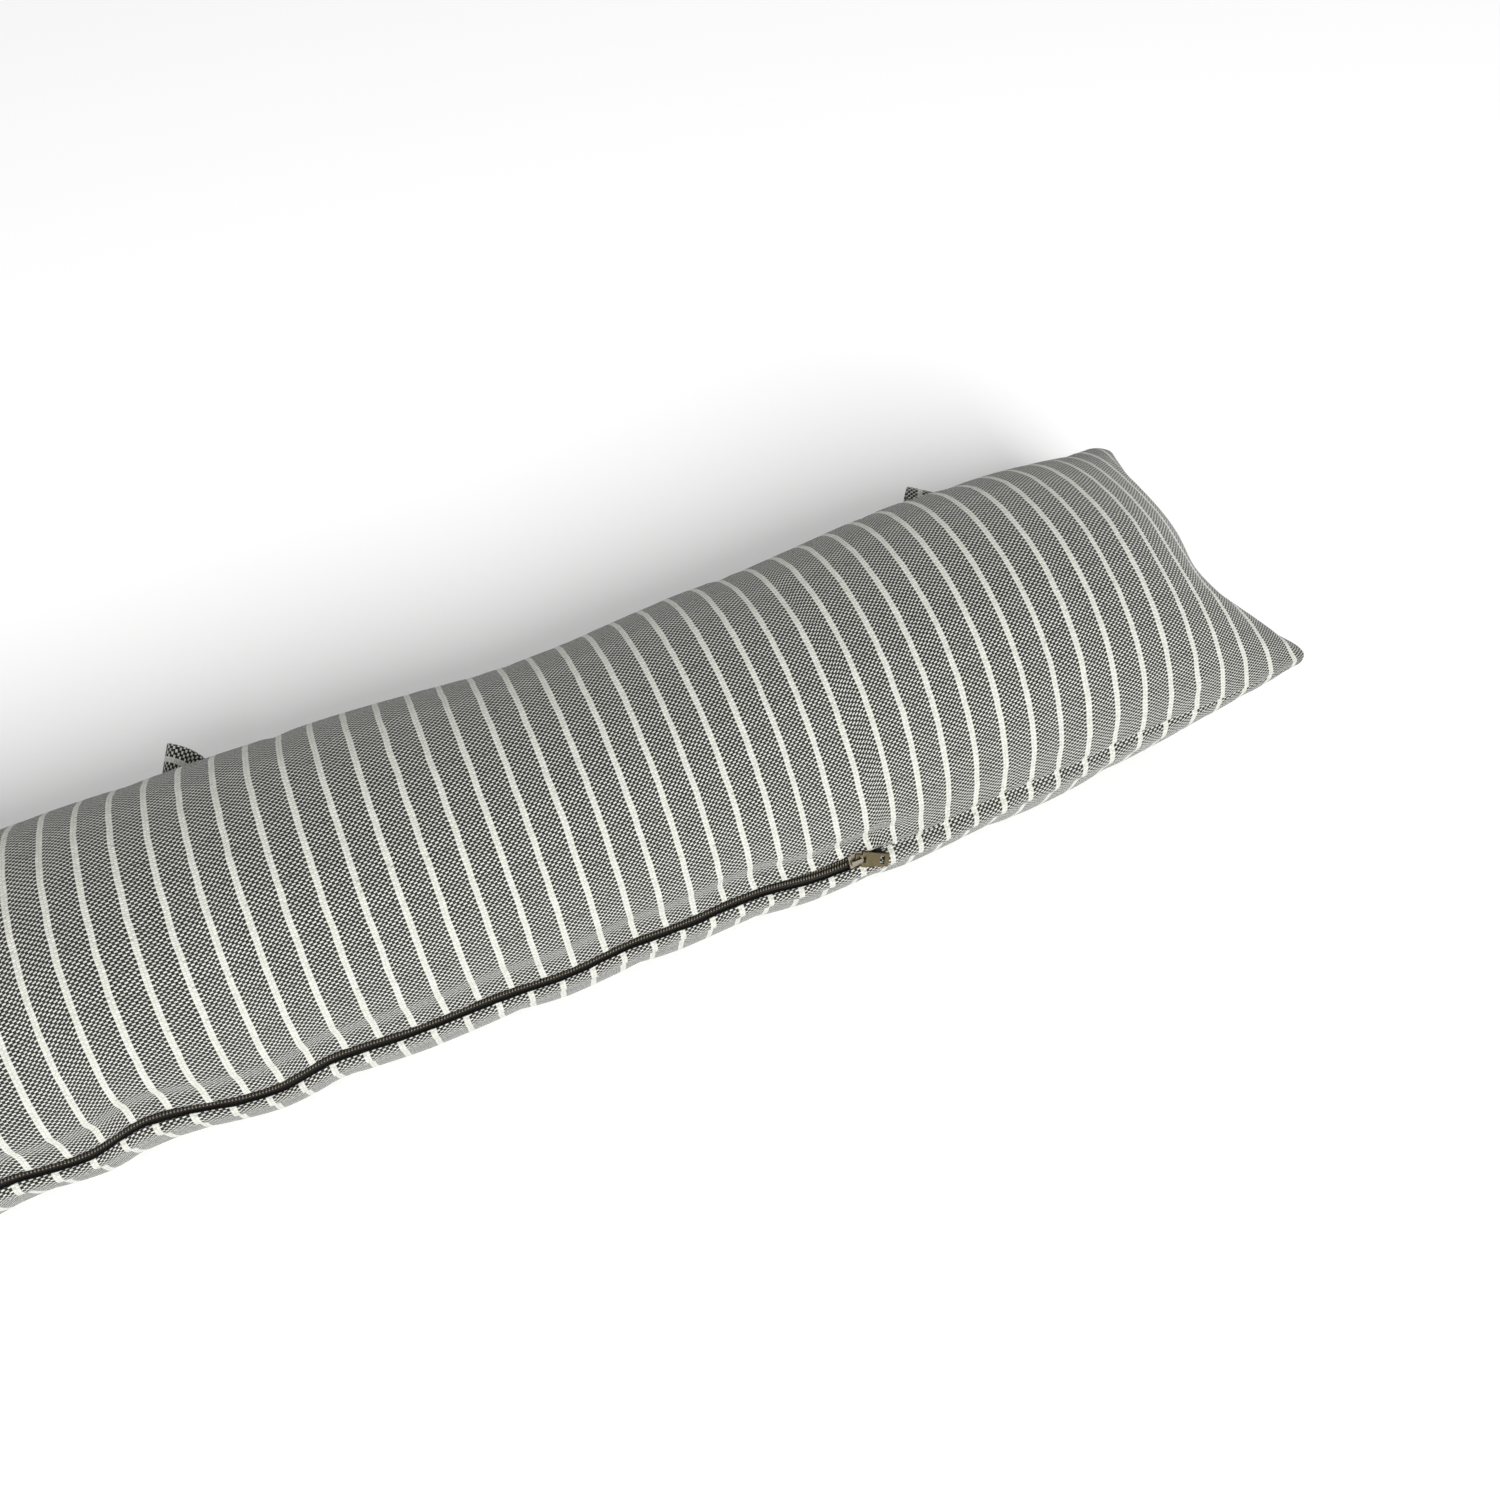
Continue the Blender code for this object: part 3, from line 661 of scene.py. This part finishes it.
def cloth_map(rings):
    """U and V of every ring point, in metres of cloth."""
    rows, count = rings.shape[:2]
    step = np.linalg.norm(np.diff(rings, axis=0), axis=2)
    plain = np.abs(np.diff(fine_x))[:, None]
    path = soften(step[:, :, None], 6)[:, :, 0]
    inside = (np.abs(fine_x[:-1]) < END_X - END_RUN - 0.004)[:, None]
    path = np.where(inside, plain, path)
    middle = rows // 2
    u = np.zeros((rows, count))
    u[middle] = fine_x[middle]
    for i in range(middle, rows - 1):
        u[i + 1] = u[i] + path[i]
    for i in range(middle - 1, -1, -1):
        u[i] = u[i + 1] - path[i]
    near = 1.0 - smooth(0.012, 0.060, np.abs(fine_x - SLIDER_X))
    side = SIDE_PULL * zip_open(fine_x) + SLIDER_PULL * near
    u = u - STRIPE_SLANT * rings[:, :, 1] + np.array([reading(CLOTH_DRIFT, x, 1) for x in fine_x])[:, None]
    u = u - side[:, None] * np.exp(-rises / PULL_FADE) * (ring_upper & ring_front)[None, :]
    half = count // 2
    v = np.zeros((rows, count))
    for i in range(rows):
        loop = np.concatenate([rings[i], rings[i][:1]])
        arc = np.concatenate([[0.0], np.cumsum(np.linalg.norm(np.diff(loop, axis=0), axis=1))])
        for first, last, sign in ((0, half, 1.0), (half, count, -1.0)):
            s = arc[first:last + 1] - arc[first]
            middle_arc = 0.5 * s[-1]
            t = (s - middle_arc) / middle_arc
            stretch = 1.0 + (PANEL_WIDTH / s[-1] - 1.0) * t * t
            value = (s - middle_arc) * stretch + sign * 0.5
            if first == 0:
                v[i, :half + 1] = value
            else:
                v[i, half + 1:] = value[1:-1]
    return u, v


cover_u, cover_v = cloth_map(rings)
rows, count = rings.shape[:2]
half = count // 2
cover = mesh_object("filled_cover_cloth", rings.reshape(-1, 3), tube_faces(rows, count))
uv_layer = cover.data.uv_layers.new(name="cloth")
shaded_groove_faces = []
out_of_step = (0.5 * PITCH - 0.0011) * (1.0 - smooth(0.205, 0.290, np.abs(fine_x)))
for polygon in cover.data.polygons:
    columns = [v % count for v in polygon.vertices]
    lower = any(c > half for c in columns)
    # Groove faces: its floor and the walls under the folded edges, which later take the tape finish as
    # painted shade.
    in_fold = all(min(c, count - c) < FOLD_POINTS - 2 for c in columns)
    if in_fold and abs(fine_x[polygon.vertices[0] // count]) < ZIP_HALF + 0.5 * ZIP_BLEND:
        shaded_groove_faces.append(polygon.index)
    for corner, vertex in zip(polygon.loop_indices, polygon.vertices):
        i, j = divmod(vertex, count)
        u = cover_u[i, j] + (out_of_step[i] if lower else 0.0)
        v = cover_v[i, j]
        if lower and j == half:
            v = -0.5 - 0.5 * PANEL_WIDTH
        if lower and j == 0:
            v = -0.5 + 0.5 * PANEL_WIDTH
        uv_layer.data[corner].uv = (u + STRIPE_SHIFT * PITCH + YARN_ALONG, v)
cover.data.polygons.foreach_set("use_smooth", [True] * len(cover.data.polygons))
cover.data.materials.append(cloth)
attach(cover, "root")
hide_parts("filled_cover")
print("cover faces", len(cover.data.polygons))

# %% [markdown]
# A coil zip is a monofilament wound into two rows of loops that mesh in the middle, sewn to
# a woven tape. Each row is made of one short rounded link, copied along the curved seam. The
# links lie just under the folded edge of the cloth, on the tape.

# %% Zip coil
TAPE_THICK = 0.0010
COIL_DEPTH = 0.0013
GAP = 0.0003
LINK_PITCH = 0.00127
LINK_TWIST = 0.35
LINK_SQUEEZE = 0.92
ROW_MARGIN = 0.003
ROW_HEIGHT = 0.00095
COIL_MIDDLE = 0.00045
STITCH_HEIGHT = 0.00115
STITCH_MIDDLE = 0.00098


def nylon(name, code, roughness):
    """Moulded nylon with a soft gloss and slight unevenness."""
    material, tree, shader = new_material(name, roughness)
    place = add_node(tree, "ShaderNodeTexCoord")
    spots = add_node(tree, "ShaderNodeTexNoise", values={"Scale": 900.0, "Detail": 2.0},
                     links={"Vector": place.outputs["Object"]})
    colour = mix_colour(tree, spots.outputs["Fac"], linear(code), linear("#3a3427"))
    tree.links.new(colour, shader.inputs["Base Color"])
    bump = add_node(tree, "ShaderNodeBump", values={"Strength": 0.3, "Distance": 0.00005},
                    links={"Height": spots.outputs["Fac"]})
    tree.links.new(bump.outputs["Normal"], shader.inputs["Normal"])
    shader.inputs["IOR"].default_value = 1.53
    return material


coil_nylon = nylon("nylon_coil", "#14120e", 0.30)


def rounded_bead(name, size, bevel):
    """Points and faces of a small rounded bead, made from a beveled cube."""
    bpy.ops.object.select_all(action="DESELECT")
    bpy.ops.mesh.primitive_cube_add(size=1.0)
    bead = bpy.context.object
    bead.name = name
    bpy.ops.object.mode_set(mode="EDIT")
    bpy.ops.mesh.select_all(action="SELECT")
    bpy.ops.transform.resize(value=size)
    bpy.ops.mesh.bevel(offset=bevel, segments=2, affect="EDGES")
    bpy.ops.object.mode_set(mode="OBJECT")
    points = np.array([tuple(v.co) for v in bead.data.vertices])
    faces = [tuple(p.vertices) for p in bead.data.polygons]
    bpy.data.objects.remove(bead, do_unlink=True)
    return points, faces


def bead_row(bead, side, height, out, twist=0.0, squeeze=1.0):
    """Points and faces of one bead copied along one side of the zip, a bead for each turn of the coil."""
    bead_points, bead_faces = bead
    points, faces = [], []
    x = -ZIP_HALF + ROW_MARGIN
    while x < ZIP_HALF - ROW_MARGIN:
        start = len(points)
        for px, py, pz in bead_points:
            along = x + px + twist * side * pz + 0.5 * LINK_PITCH * (side > 0)
            points.append(seam_point(along, out - py, side * (height + pz * squeeze)))
        faces += [tuple(start + v for v in f) for f in bead_faces]
        x += LINK_PITCH
    return points, faces


link = rounded_bead("link", (0.00085, 0.0012, 0.0019), 0.00032)
coil_face = -GROOVE_DEPTH + GAP + TAPE_THICK + GAP
rows_made = []
for name, side, node in (
    ("coil_row_upper", 1.0, "zip_coil_upper"),
    ("coil_row_lower", -1.0, "zip_coil_lower"),
):
    points, faces = bead_row(link, side, ROW_HEIGHT, coil_face + COIL_MIDDLE, LINK_TWIST, LINK_SQUEEZE)
    row = mesh_object(name, points, faces)
    row.data.polygons.foreach_set("use_smooth", [True] * len(row.data.polygons))
    row.data.materials.append(coil_nylon)
    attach(row, "root")
    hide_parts(node)
    rows_made.append(len(points) // len(link[0]))
print("coil links in each row", rows_made)

# %% [markdown]
# Both rows of the coil are held to the tape by a line of sewing thread that crosses every
# turn. The thread is made beige and a small bead of it sits on every link, so each row shows small beige
# points that also stand for the coil's glints: partly thread, partly painted highlight. One stitch is
# shaped from a beveled cube and copied over each link.

# %% Coil stitching
def thread_and_painted_glints():
    """Twisted polyester thread, beige and slightly glossy; its light tone is partly a painted highlight for
    the coil's glints.
    """
    material, tree, shader = new_material("polyester_thread_and_glints", 0.55)
    place = add_node(tree, "ShaderNodeTexCoord")
    strands = add_node(tree, "ShaderNodeTexNoise", values={"Scale": 1500.0, "Detail": 2.0},
                       links={"Vector": place.outputs["Object"]})
    colour = mix_colour(tree, strands.outputs["Fac"], linear("#4a4433"), linear("#9a9175"))
    tree.links.new(colour, shader.inputs["Base Color"])
    shader.inputs["Sheen Weight"].default_value = 0.15
    return material


# Painted highlight in part: one beige bead on every link gives each row its line of glints.
stitch = rounded_bead("stitch", (0.00045, 0.0004, 0.0006), 0.00014)
points, faces = [], []
for side in (1.0, -1.0):
    more_points, more_faces = bead_row(stitch, side, STITCH_HEIGHT, coil_face + STITCH_MIDDLE)
    faces += [tuple(len(points) + v for v in f) for f in more_faces]
    points += more_points
thread_beads_and_glints = mesh_object("coil_stitches_and_glints", points, faces)
thread_beads_and_glints.data.polygons.foreach_set("use_smooth", [True] * len(thread_beads_and_glints.data.polygons))
thread_beads_and_glints.data.materials.append(thread_and_painted_glints())
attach(thread_beads_and_glints, "root")
print("thread_beads_and_glints", len(points) // len(stitch[0]))

# %% [markdown]
# The tape is a narrow dark herringbone ribbon. Its CAD strip has the right shape, so it
# stays and only gets its finish: fine ribs across the zip, dull and slightly brown.

# %% Zip tape
def tape_and_groove_shade():
    """Polyester tape with fine ribs, too fine to read one by one; also laid on the cover's groove as
    painted shade.
    """
    material, tree, shader = new_material("polyester_tape_and_groove_shade", 0.85)
    place = add_node(tree, "ShaderNodeTexCoord")
    ribs = add_node(tree, "ShaderNodeTexWave", {"bands_direction": "X"},
                    {"Scale": 180.0, "Distortion": 1.5, "Detail": 2.0},
                    {"Vector": place.outputs["Object"]})
    colour = mix_colour(tree, ribs.outputs["Fac"], linear("#0b0a08"), linear("#191612"))
    tree.links.new(colour, shader.inputs["Base Color"])
    bump = add_node(tree, "ShaderNodeBump", values={"Strength": 0.5, "Distance": 0.0001},
                    links={"Height": ribs.outputs["Fac"]})
    tree.links.new(bump.outputs["Normal"], shader.inputs["Normal"])
    return material


tape = tape_and_groove_shade()
tape_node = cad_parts["zip_tape"]
tape_node.data.materials.clear()
tape_node.data.materials.append(tape)
# The cover's groove faces take the same near-black finish: painted shade for the deep gap, though much of
# that floor and its walls is cloth.
cover.data.materials.append(tape)
for index in shaded_groove_faces:
    cover.data.polygons[index].material_index = 1
print("tape keeps its CAD mesh:", len(tape_node.data.polygons), "faces; groove", len(shaded_groove_faces), "faces")

# %% [markdown]
# The slider and its pull are die-cast zinc with an antique brass finish: the pull is a dark
# olive brown, and the slider is rubbed to a paler metal by use. Both CAD shapes are plain, so finer
# ones are modelled with bevels and set in the same place.

# %% Slider and pull
SLIDER_LENGTH = 0.0085
SLIDER_HALF_HEIGHT = 0.0030
SLIDER_PLATE = 0.0011
BRIDGE_RISE = 0.0022
BRIDGE_HALF = 0.0026
BRIDGE_THICK = 0.0009
PULL_LENGTH = 0.0161
PULL_START = 0.0024
PLATE_START = 0.0032
PULL_HALF_HEIGHT = 0.0036
PULL_TIP = 0.0029
PULL_NECK = 0.0023
PULL_THICK = 0.0010
PULL_SWING = math.radians(-23.0)
PULL_HINGE = SLIDER_X + BRIDGE_HALF - 0.5 * BRIDGE_THICK
coil_top = coil_face + COIL_DEPTH
plate_back = coil_top + GAP
plate_front = plate_back + SLIDER_PLATE


def antique_metal(name, flat, stain):
    """Antique brass finish on cast zinc, slightly stained."""
    material, tree, shader = new_material(name, 0.42, 1.0)
    place = add_node(tree, "ShaderNodeTexCoord")
    stains = add_node(tree, "ShaderNodeTexNoise", values={"Scale": 420.0, "Detail": 4.0},
                      links={"Vector": place.outputs["Object"]})
    colour = mix_colour(tree, stains.outputs["Fac"], linear(flat), linear(stain))
    tree.links.new(colour, shader.inputs["Base Color"])
    rough = add_node(tree, "ShaderNodeMapRange", values={"To Min": 0.34, "To Max": 0.52},
                     links={"Value": stains.outputs["Fac"]})
    tree.links.new(rough.outputs["Result"], shader.inputs["Roughness"])
    bump = add_node(tree, "ShaderNodeBump", values={"Strength": 0.25, "Distance": 0.00006},
                    links={"Height": stains.outputs["Fac"]})
    tree.links.new(bump.outputs["Normal"], shader.inputs["Normal"])
    return material


pull_metal = antique_metal("antique_brass", "#544d3a", "#6b624b")
slider_metal = antique_metal("worn_brass", "#7b7468", "#979083")


def set_in_place(obj, place):
    """Moves every point of a piece drawn as along, out and up to its place on the tube."""
    for vertex in obj.data.vertices:
        vertex.co = place(*vertex.co)
    work = bmesh.new()
    work.from_mesh(obj.data)
    bmesh.ops.recalc_face_normals(work, faces=work.faces)
    if work.calc_volume(signed=True) < 0.0:
        bmesh.ops.reverse_faces(work, faces=work.faces)
    work.to_mesh(obj.data)
    work.free()


def slider_place(x, out, up):
    """Point given along the zip, out from it and up its face."""
    spot = seam_point(SLIDER_X, out, up)
    return Vector((x, spot.y, spot.z))


def pull_place(x, out, up):
    """Point of the pull, swung about the right leg of the bridge."""
    dx = x - PULL_HINGE
    turned = PULL_HINGE + dx * math.cos(PULL_SWING) - up * math.sin(PULL_SWING)
    return slider_place(turned, out, dx * math.sin(PULL_SWING) + up * math.cos(PULL_SWING))


def block(name, low, high, bevel):
    """Beveled block between two corners, still drawn as along, out and up."""
    bpy.ops.object.select_all(action="DESELECT")
    centre = [(a + b) / 2.0 for a, b in zip(low, high)]
    size = [b - a for a, b in zip(low, high)]
    bpy.ops.mesh.primitive_cube_add(size=1.0)
    piece = bpy.context.object
    piece.name = name
    bpy.ops.object.mode_set(mode="EDIT")
    bpy.ops.mesh.select_all(action="SELECT")
    bpy.ops.transform.resize(value=size)
    bpy.ops.transform.translate(value=centre)
    if bevel > 0.0:
        bpy.ops.mesh.bevel(offset=bevel, segments=2, affect="EDGES")
    bpy.ops.object.mode_set(mode="OBJECT")
    return piece


def cut_or_join(target, tool, operation):
    """Applies one Boolean and removes its tool."""
    modifier = target.modifiers.new("shape", "BOOLEAN")
    modifier.operation = operation
    modifier.solver = "EXACT"
    modifier.object = tool
    bpy.context.view_layer.objects.active = target
    bpy.ops.object.modifier_apply(modifier=modifier.name)
    bpy.data.objects.remove(tool, do_unlink=True)


slider_left = SLIDER_X - 0.5 * SLIDER_LENGTH + 0.0012
slider_right = SLIDER_X + 0.5 * SLIDER_LENGTH
tall = SLIDER_HALF_HEIGHT
slider = block("slider_body", (slider_left, plate_back, -tall), (slider_right, plate_front, tall), 0.0003)
for low in (-tall, tall - 0.0006):
    wing = block("wing", (slider_left, coil_face + 0.0002, low),
                 (slider_right, plate_back + 0.0004, low + 0.0006), 0.0)
    cut_or_join(slider, wing, "UNION")
collar = block("collar", (slider_left, plate_front - 0.0004, -tall + 0.0001),
               (slider_left + 0.0017, plate_front + 0.0007, tall - 0.0001), 0.00025)
cut_or_join(slider, collar, "UNION")
t = BRIDGE_THICK
top = plate_front + BRIDGE_RISE
for x in (SLIDER_X - BRIDGE_HALF, SLIDER_X + BRIDGE_HALF - t):
    leg = block("leg", (x, plate_front - 0.0004, -t), (x + t, top + 0.0002, t), 0.0001)
    cut_or_join(slider, leg, "UNION")
bar = block("bar", (SLIDER_X - BRIDGE_HALF, top, -t), (SLIDER_X + BRIDGE_HALF, top + t, t), 0.00025)
cut_or_join(slider, bar, "UNION")
set_in_place(slider, slider_place)

low = plate_front + 0.0006
high = low + PULL_THICK
start = PULL_HINGE - PULL_START
end = start + PULL_LENGTH
pull = block("pull_plate", (start + PLATE_START, low, -PULL_HALF_HEIGHT),
             (end, high, PULL_HALF_HEIGHT), 0.00028)
for vertex in pull.data.vertices:
    share = (vertex.co.x - start - PLATE_START) / (PULL_LENGTH - PLATE_START)
    vertex.co.z *= 1.0 + (PULL_TIP / PULL_HALF_HEIGHT - 1.0) * share
neck = block("neck", (start, low + 0.00005, -PULL_NECK),
             (start + 0.0062, high - 0.00005, PULL_NECK), 0.0002)
cut_or_join(pull, neck, "UNION")
eye = block("eye", (PULL_HINGE - 0.0011, low - 0.001, -0.0014),
            (PULL_HINGE + 0.0026, high + 0.001, 0.0014), 0.0)
cut_or_join(pull, eye, "DIFFERENCE")
slot = block("slot", (end - 0.0044, low - 0.001, -0.0018),
             (end - 0.0022, high + 0.001, 0.0018), 0.0)
cut_or_join(pull, slot, "DIFFERENCE")
set_in_place(pull, pull_place)
for piece, node, finish in ((slider, "zip_slider", slider_metal), (pull, "zip_pull", pull_metal)):
    piece.data.materials.clear()
    piece.data.materials.append(finish)
    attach(piece, "root")
    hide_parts(node)
    print(piece.name, "faces", len(piece.data.polygons))

# %% [markdown]
# Each hanging loop is a strip of the same cloth, folded lengthways and sewn into the back
# seam. A pale stripe runs down its middle. The strip is drawn as a thin closed band along
# its folded path, with rounded edges, and its UV map runs the weave along it.

# %% Hanging loops
LOOP_STRIP = 0.0140
LOOP_THICK = 0.0016
LOOP_EYE = 0.0072
LOOPS = (
    ("hanging_loop_left", -0.380, -0.0001, 0.0215, 20.0, -12.0),
    ("hanging_loop_middle", 0.0090, -0.0004, 0.0252, 35.6, 63.5),
    ("hanging_loop_right", 0.3768, 0.0001, 0.0205, 10.0, -40.0),
)


def loop_path(reach):
    """Middle line of a folded strip, as distance from the seam and height above the fold plane."""
    gap = 0.5 * LOOP_EYE + 0.5 * LOOP_THICK
    root = 0.5 * LOOP_THICK + 0.00015
    bow = reach - 0.5 * LOOP_THICK - gap
    steps = [bow * i / 24.0 for i in range(25)]
    leg = [(u, root + (gap - root) * smooth(0.0, 0.8 * bow, u)) for u in steps]
    turns = [math.pi * i / 20.0 for i in range(1, 20)]
    fold = [(bow + gap * math.sin(a), gap * math.cos(a)) for a in turns]
    return leg + fold + [(u, -n) for u, n in reversed(leg)]


def loop_strip(name, x, start, reach, tilt, turn):
    """Folded strip on the back seam, as a thin band with rounded edges and its own cloth map."""
    rise = math.radians(tilt)
    y0 = filling(x, 2) + half_width(x, 1.0) + start
    radius = reach / math.radians(turn)
    path = loop_path(reach)
    profile = []
    h, w = 0.5 * LOOP_THICK, 0.5 * LOOP_STRIP
    for i in range(9):
        profile.append((h, -w + h + (2.0 * w - 2.0 * h) * i / 8.0))
    for i in range(1, 4):
        a = math.pi * i / 4.0
        profile.append((h * math.cos(a), w - h + h * math.sin(a)))
    for i in range(9):
        profile.append((-h, w - h - (2.0 * w - 2.0 * h) * i / 8.0))
    for i in range(1, 4):
        a = math.pi * i / 4.0
        profile.append((-h * math.cos(a), -w + h - h * math.sin(a)))
    points, lengths, length = [], [], 0.0
    for i, (u, n) in enumerate(path):
        u0, n0 = path[max(i - 1, 0)]
        u1, n1 = path[min(i + 1, len(path) - 1)]
        du, dn = u1 - u0, n1 - n0
        size = math.hypot(du, dn)
        along, across = du / size, dn / size
        if i:
            length += math.hypot(u - u0, n - n0)
        lengths.append(length)
        bend = u / radius
        side = -radius * (1.0 - math.cos(bend))
        ahead = radius * math.sin(bend)
        for thick, wide in profile:
            slip = -across * thick
            lift = n + along * thick
            sx = side + wide * math.cos(bend) - slip * math.sin(bend)
            so = ahead + wide * math.sin(bend) + slip * math.cos(bend)
            points.append((
                x + sx,
                y0 + so * math.cos(rise) - lift * math.sin(rise),
                SEAM_HEIGHT + so * math.sin(rise) + lift * math.cos(rise),
            ))
    count = len(profile)
    faces = []
    for i in range(len(path) - 1):
        for j in range(count):
            k = (j + 1) % count
            faces.append((i * count + j, i * count + k, (i + 1) * count + k, (i + 1) * count + j))
    faces.append(tuple(reversed(range(count))))
    faces.append(tuple(range((len(path) - 1) * count, len(path) * count)))
    strip = mesh_object(name + "_strip", points, faces)
    layer = strip.data.uv_layers.new(name="cloth")
    for polygon in strip.data.polygons:
        for corner, vertex in zip(polygon.loop_indices, polygon.vertices):
            i, j = divmod(vertex, count)
            layer.data[corner].uv = (profile[j][1] + 40.0 * PITCH + YARN_ALONG, lengths[i])
    strip.data.polygons.foreach_set("use_smooth", [True] * len(strip.data.polygons))
    strip.data.materials.append(cloth)
    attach(strip, "root")
    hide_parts(name)
    return length


for row in LOOPS:
    print(row[0], "strip length, mm", round(loop_strip(*row) * 1e3, 1))

# %% [markdown]
# The floor is a plain white sheet, and the light is that of a small studio: one large soft
# source in front, fairly low, and a bright white room. The tube's soft shadow falls behind it.

# %% Floor and light
def studio_white():
    """Matte white paper."""
    material, tree, shader = new_material("white_paper", 0.9)
    shader.inputs["Base Color"].default_value = linear("#fdfdfd")
    shader.inputs["Specular IOR Level"].default_value = 0.1
    return material


bpy.ops.object.select_all(action="DESELECT")
bpy.ops.mesh.primitive_plane_add(size=12.0, location=(0.0, 0.0, -0.0002))
floor = bpy.context.object
floor.name = "floor"
floor.data.materials.append(studio_white())


def soft_light(name, position, aim, size, power, code):
    """Square area light that faces a point."""
    data = bpy.data.lights.new(name, "AREA")
    data.shape = "SQUARE"
    data.size = size
    data.energy = power
    data.color = linear(code)[:3]
    lamp = bpy.data.objects.new(name, data)
    scene.collection.objects.link(lamp)
    lamp.location = position
    lamp.rotation_mode = "QUATERNION"
    lamp.rotation_quaternion = (Vector(aim) - Vector(position)).to_track_quat("-Z", "Y")
    return lamp


soft_light("key", (-0.2, -3.2, 2.5), (0.15, 0.0, 0.05), 1.9, 178.0, "#ffffff")
world = bpy.data.worlds.new("white_room")
scene.world = world
world.use_nodes = True
world.node_tree.nodes["Background"].inputs["Color"].default_value = (1.0, 1.0, 1.0, 1.0)
world.node_tree.nodes["Background"].inputs["Strength"].default_value = 0.56
scene.view_settings.view_transform = "Standard"
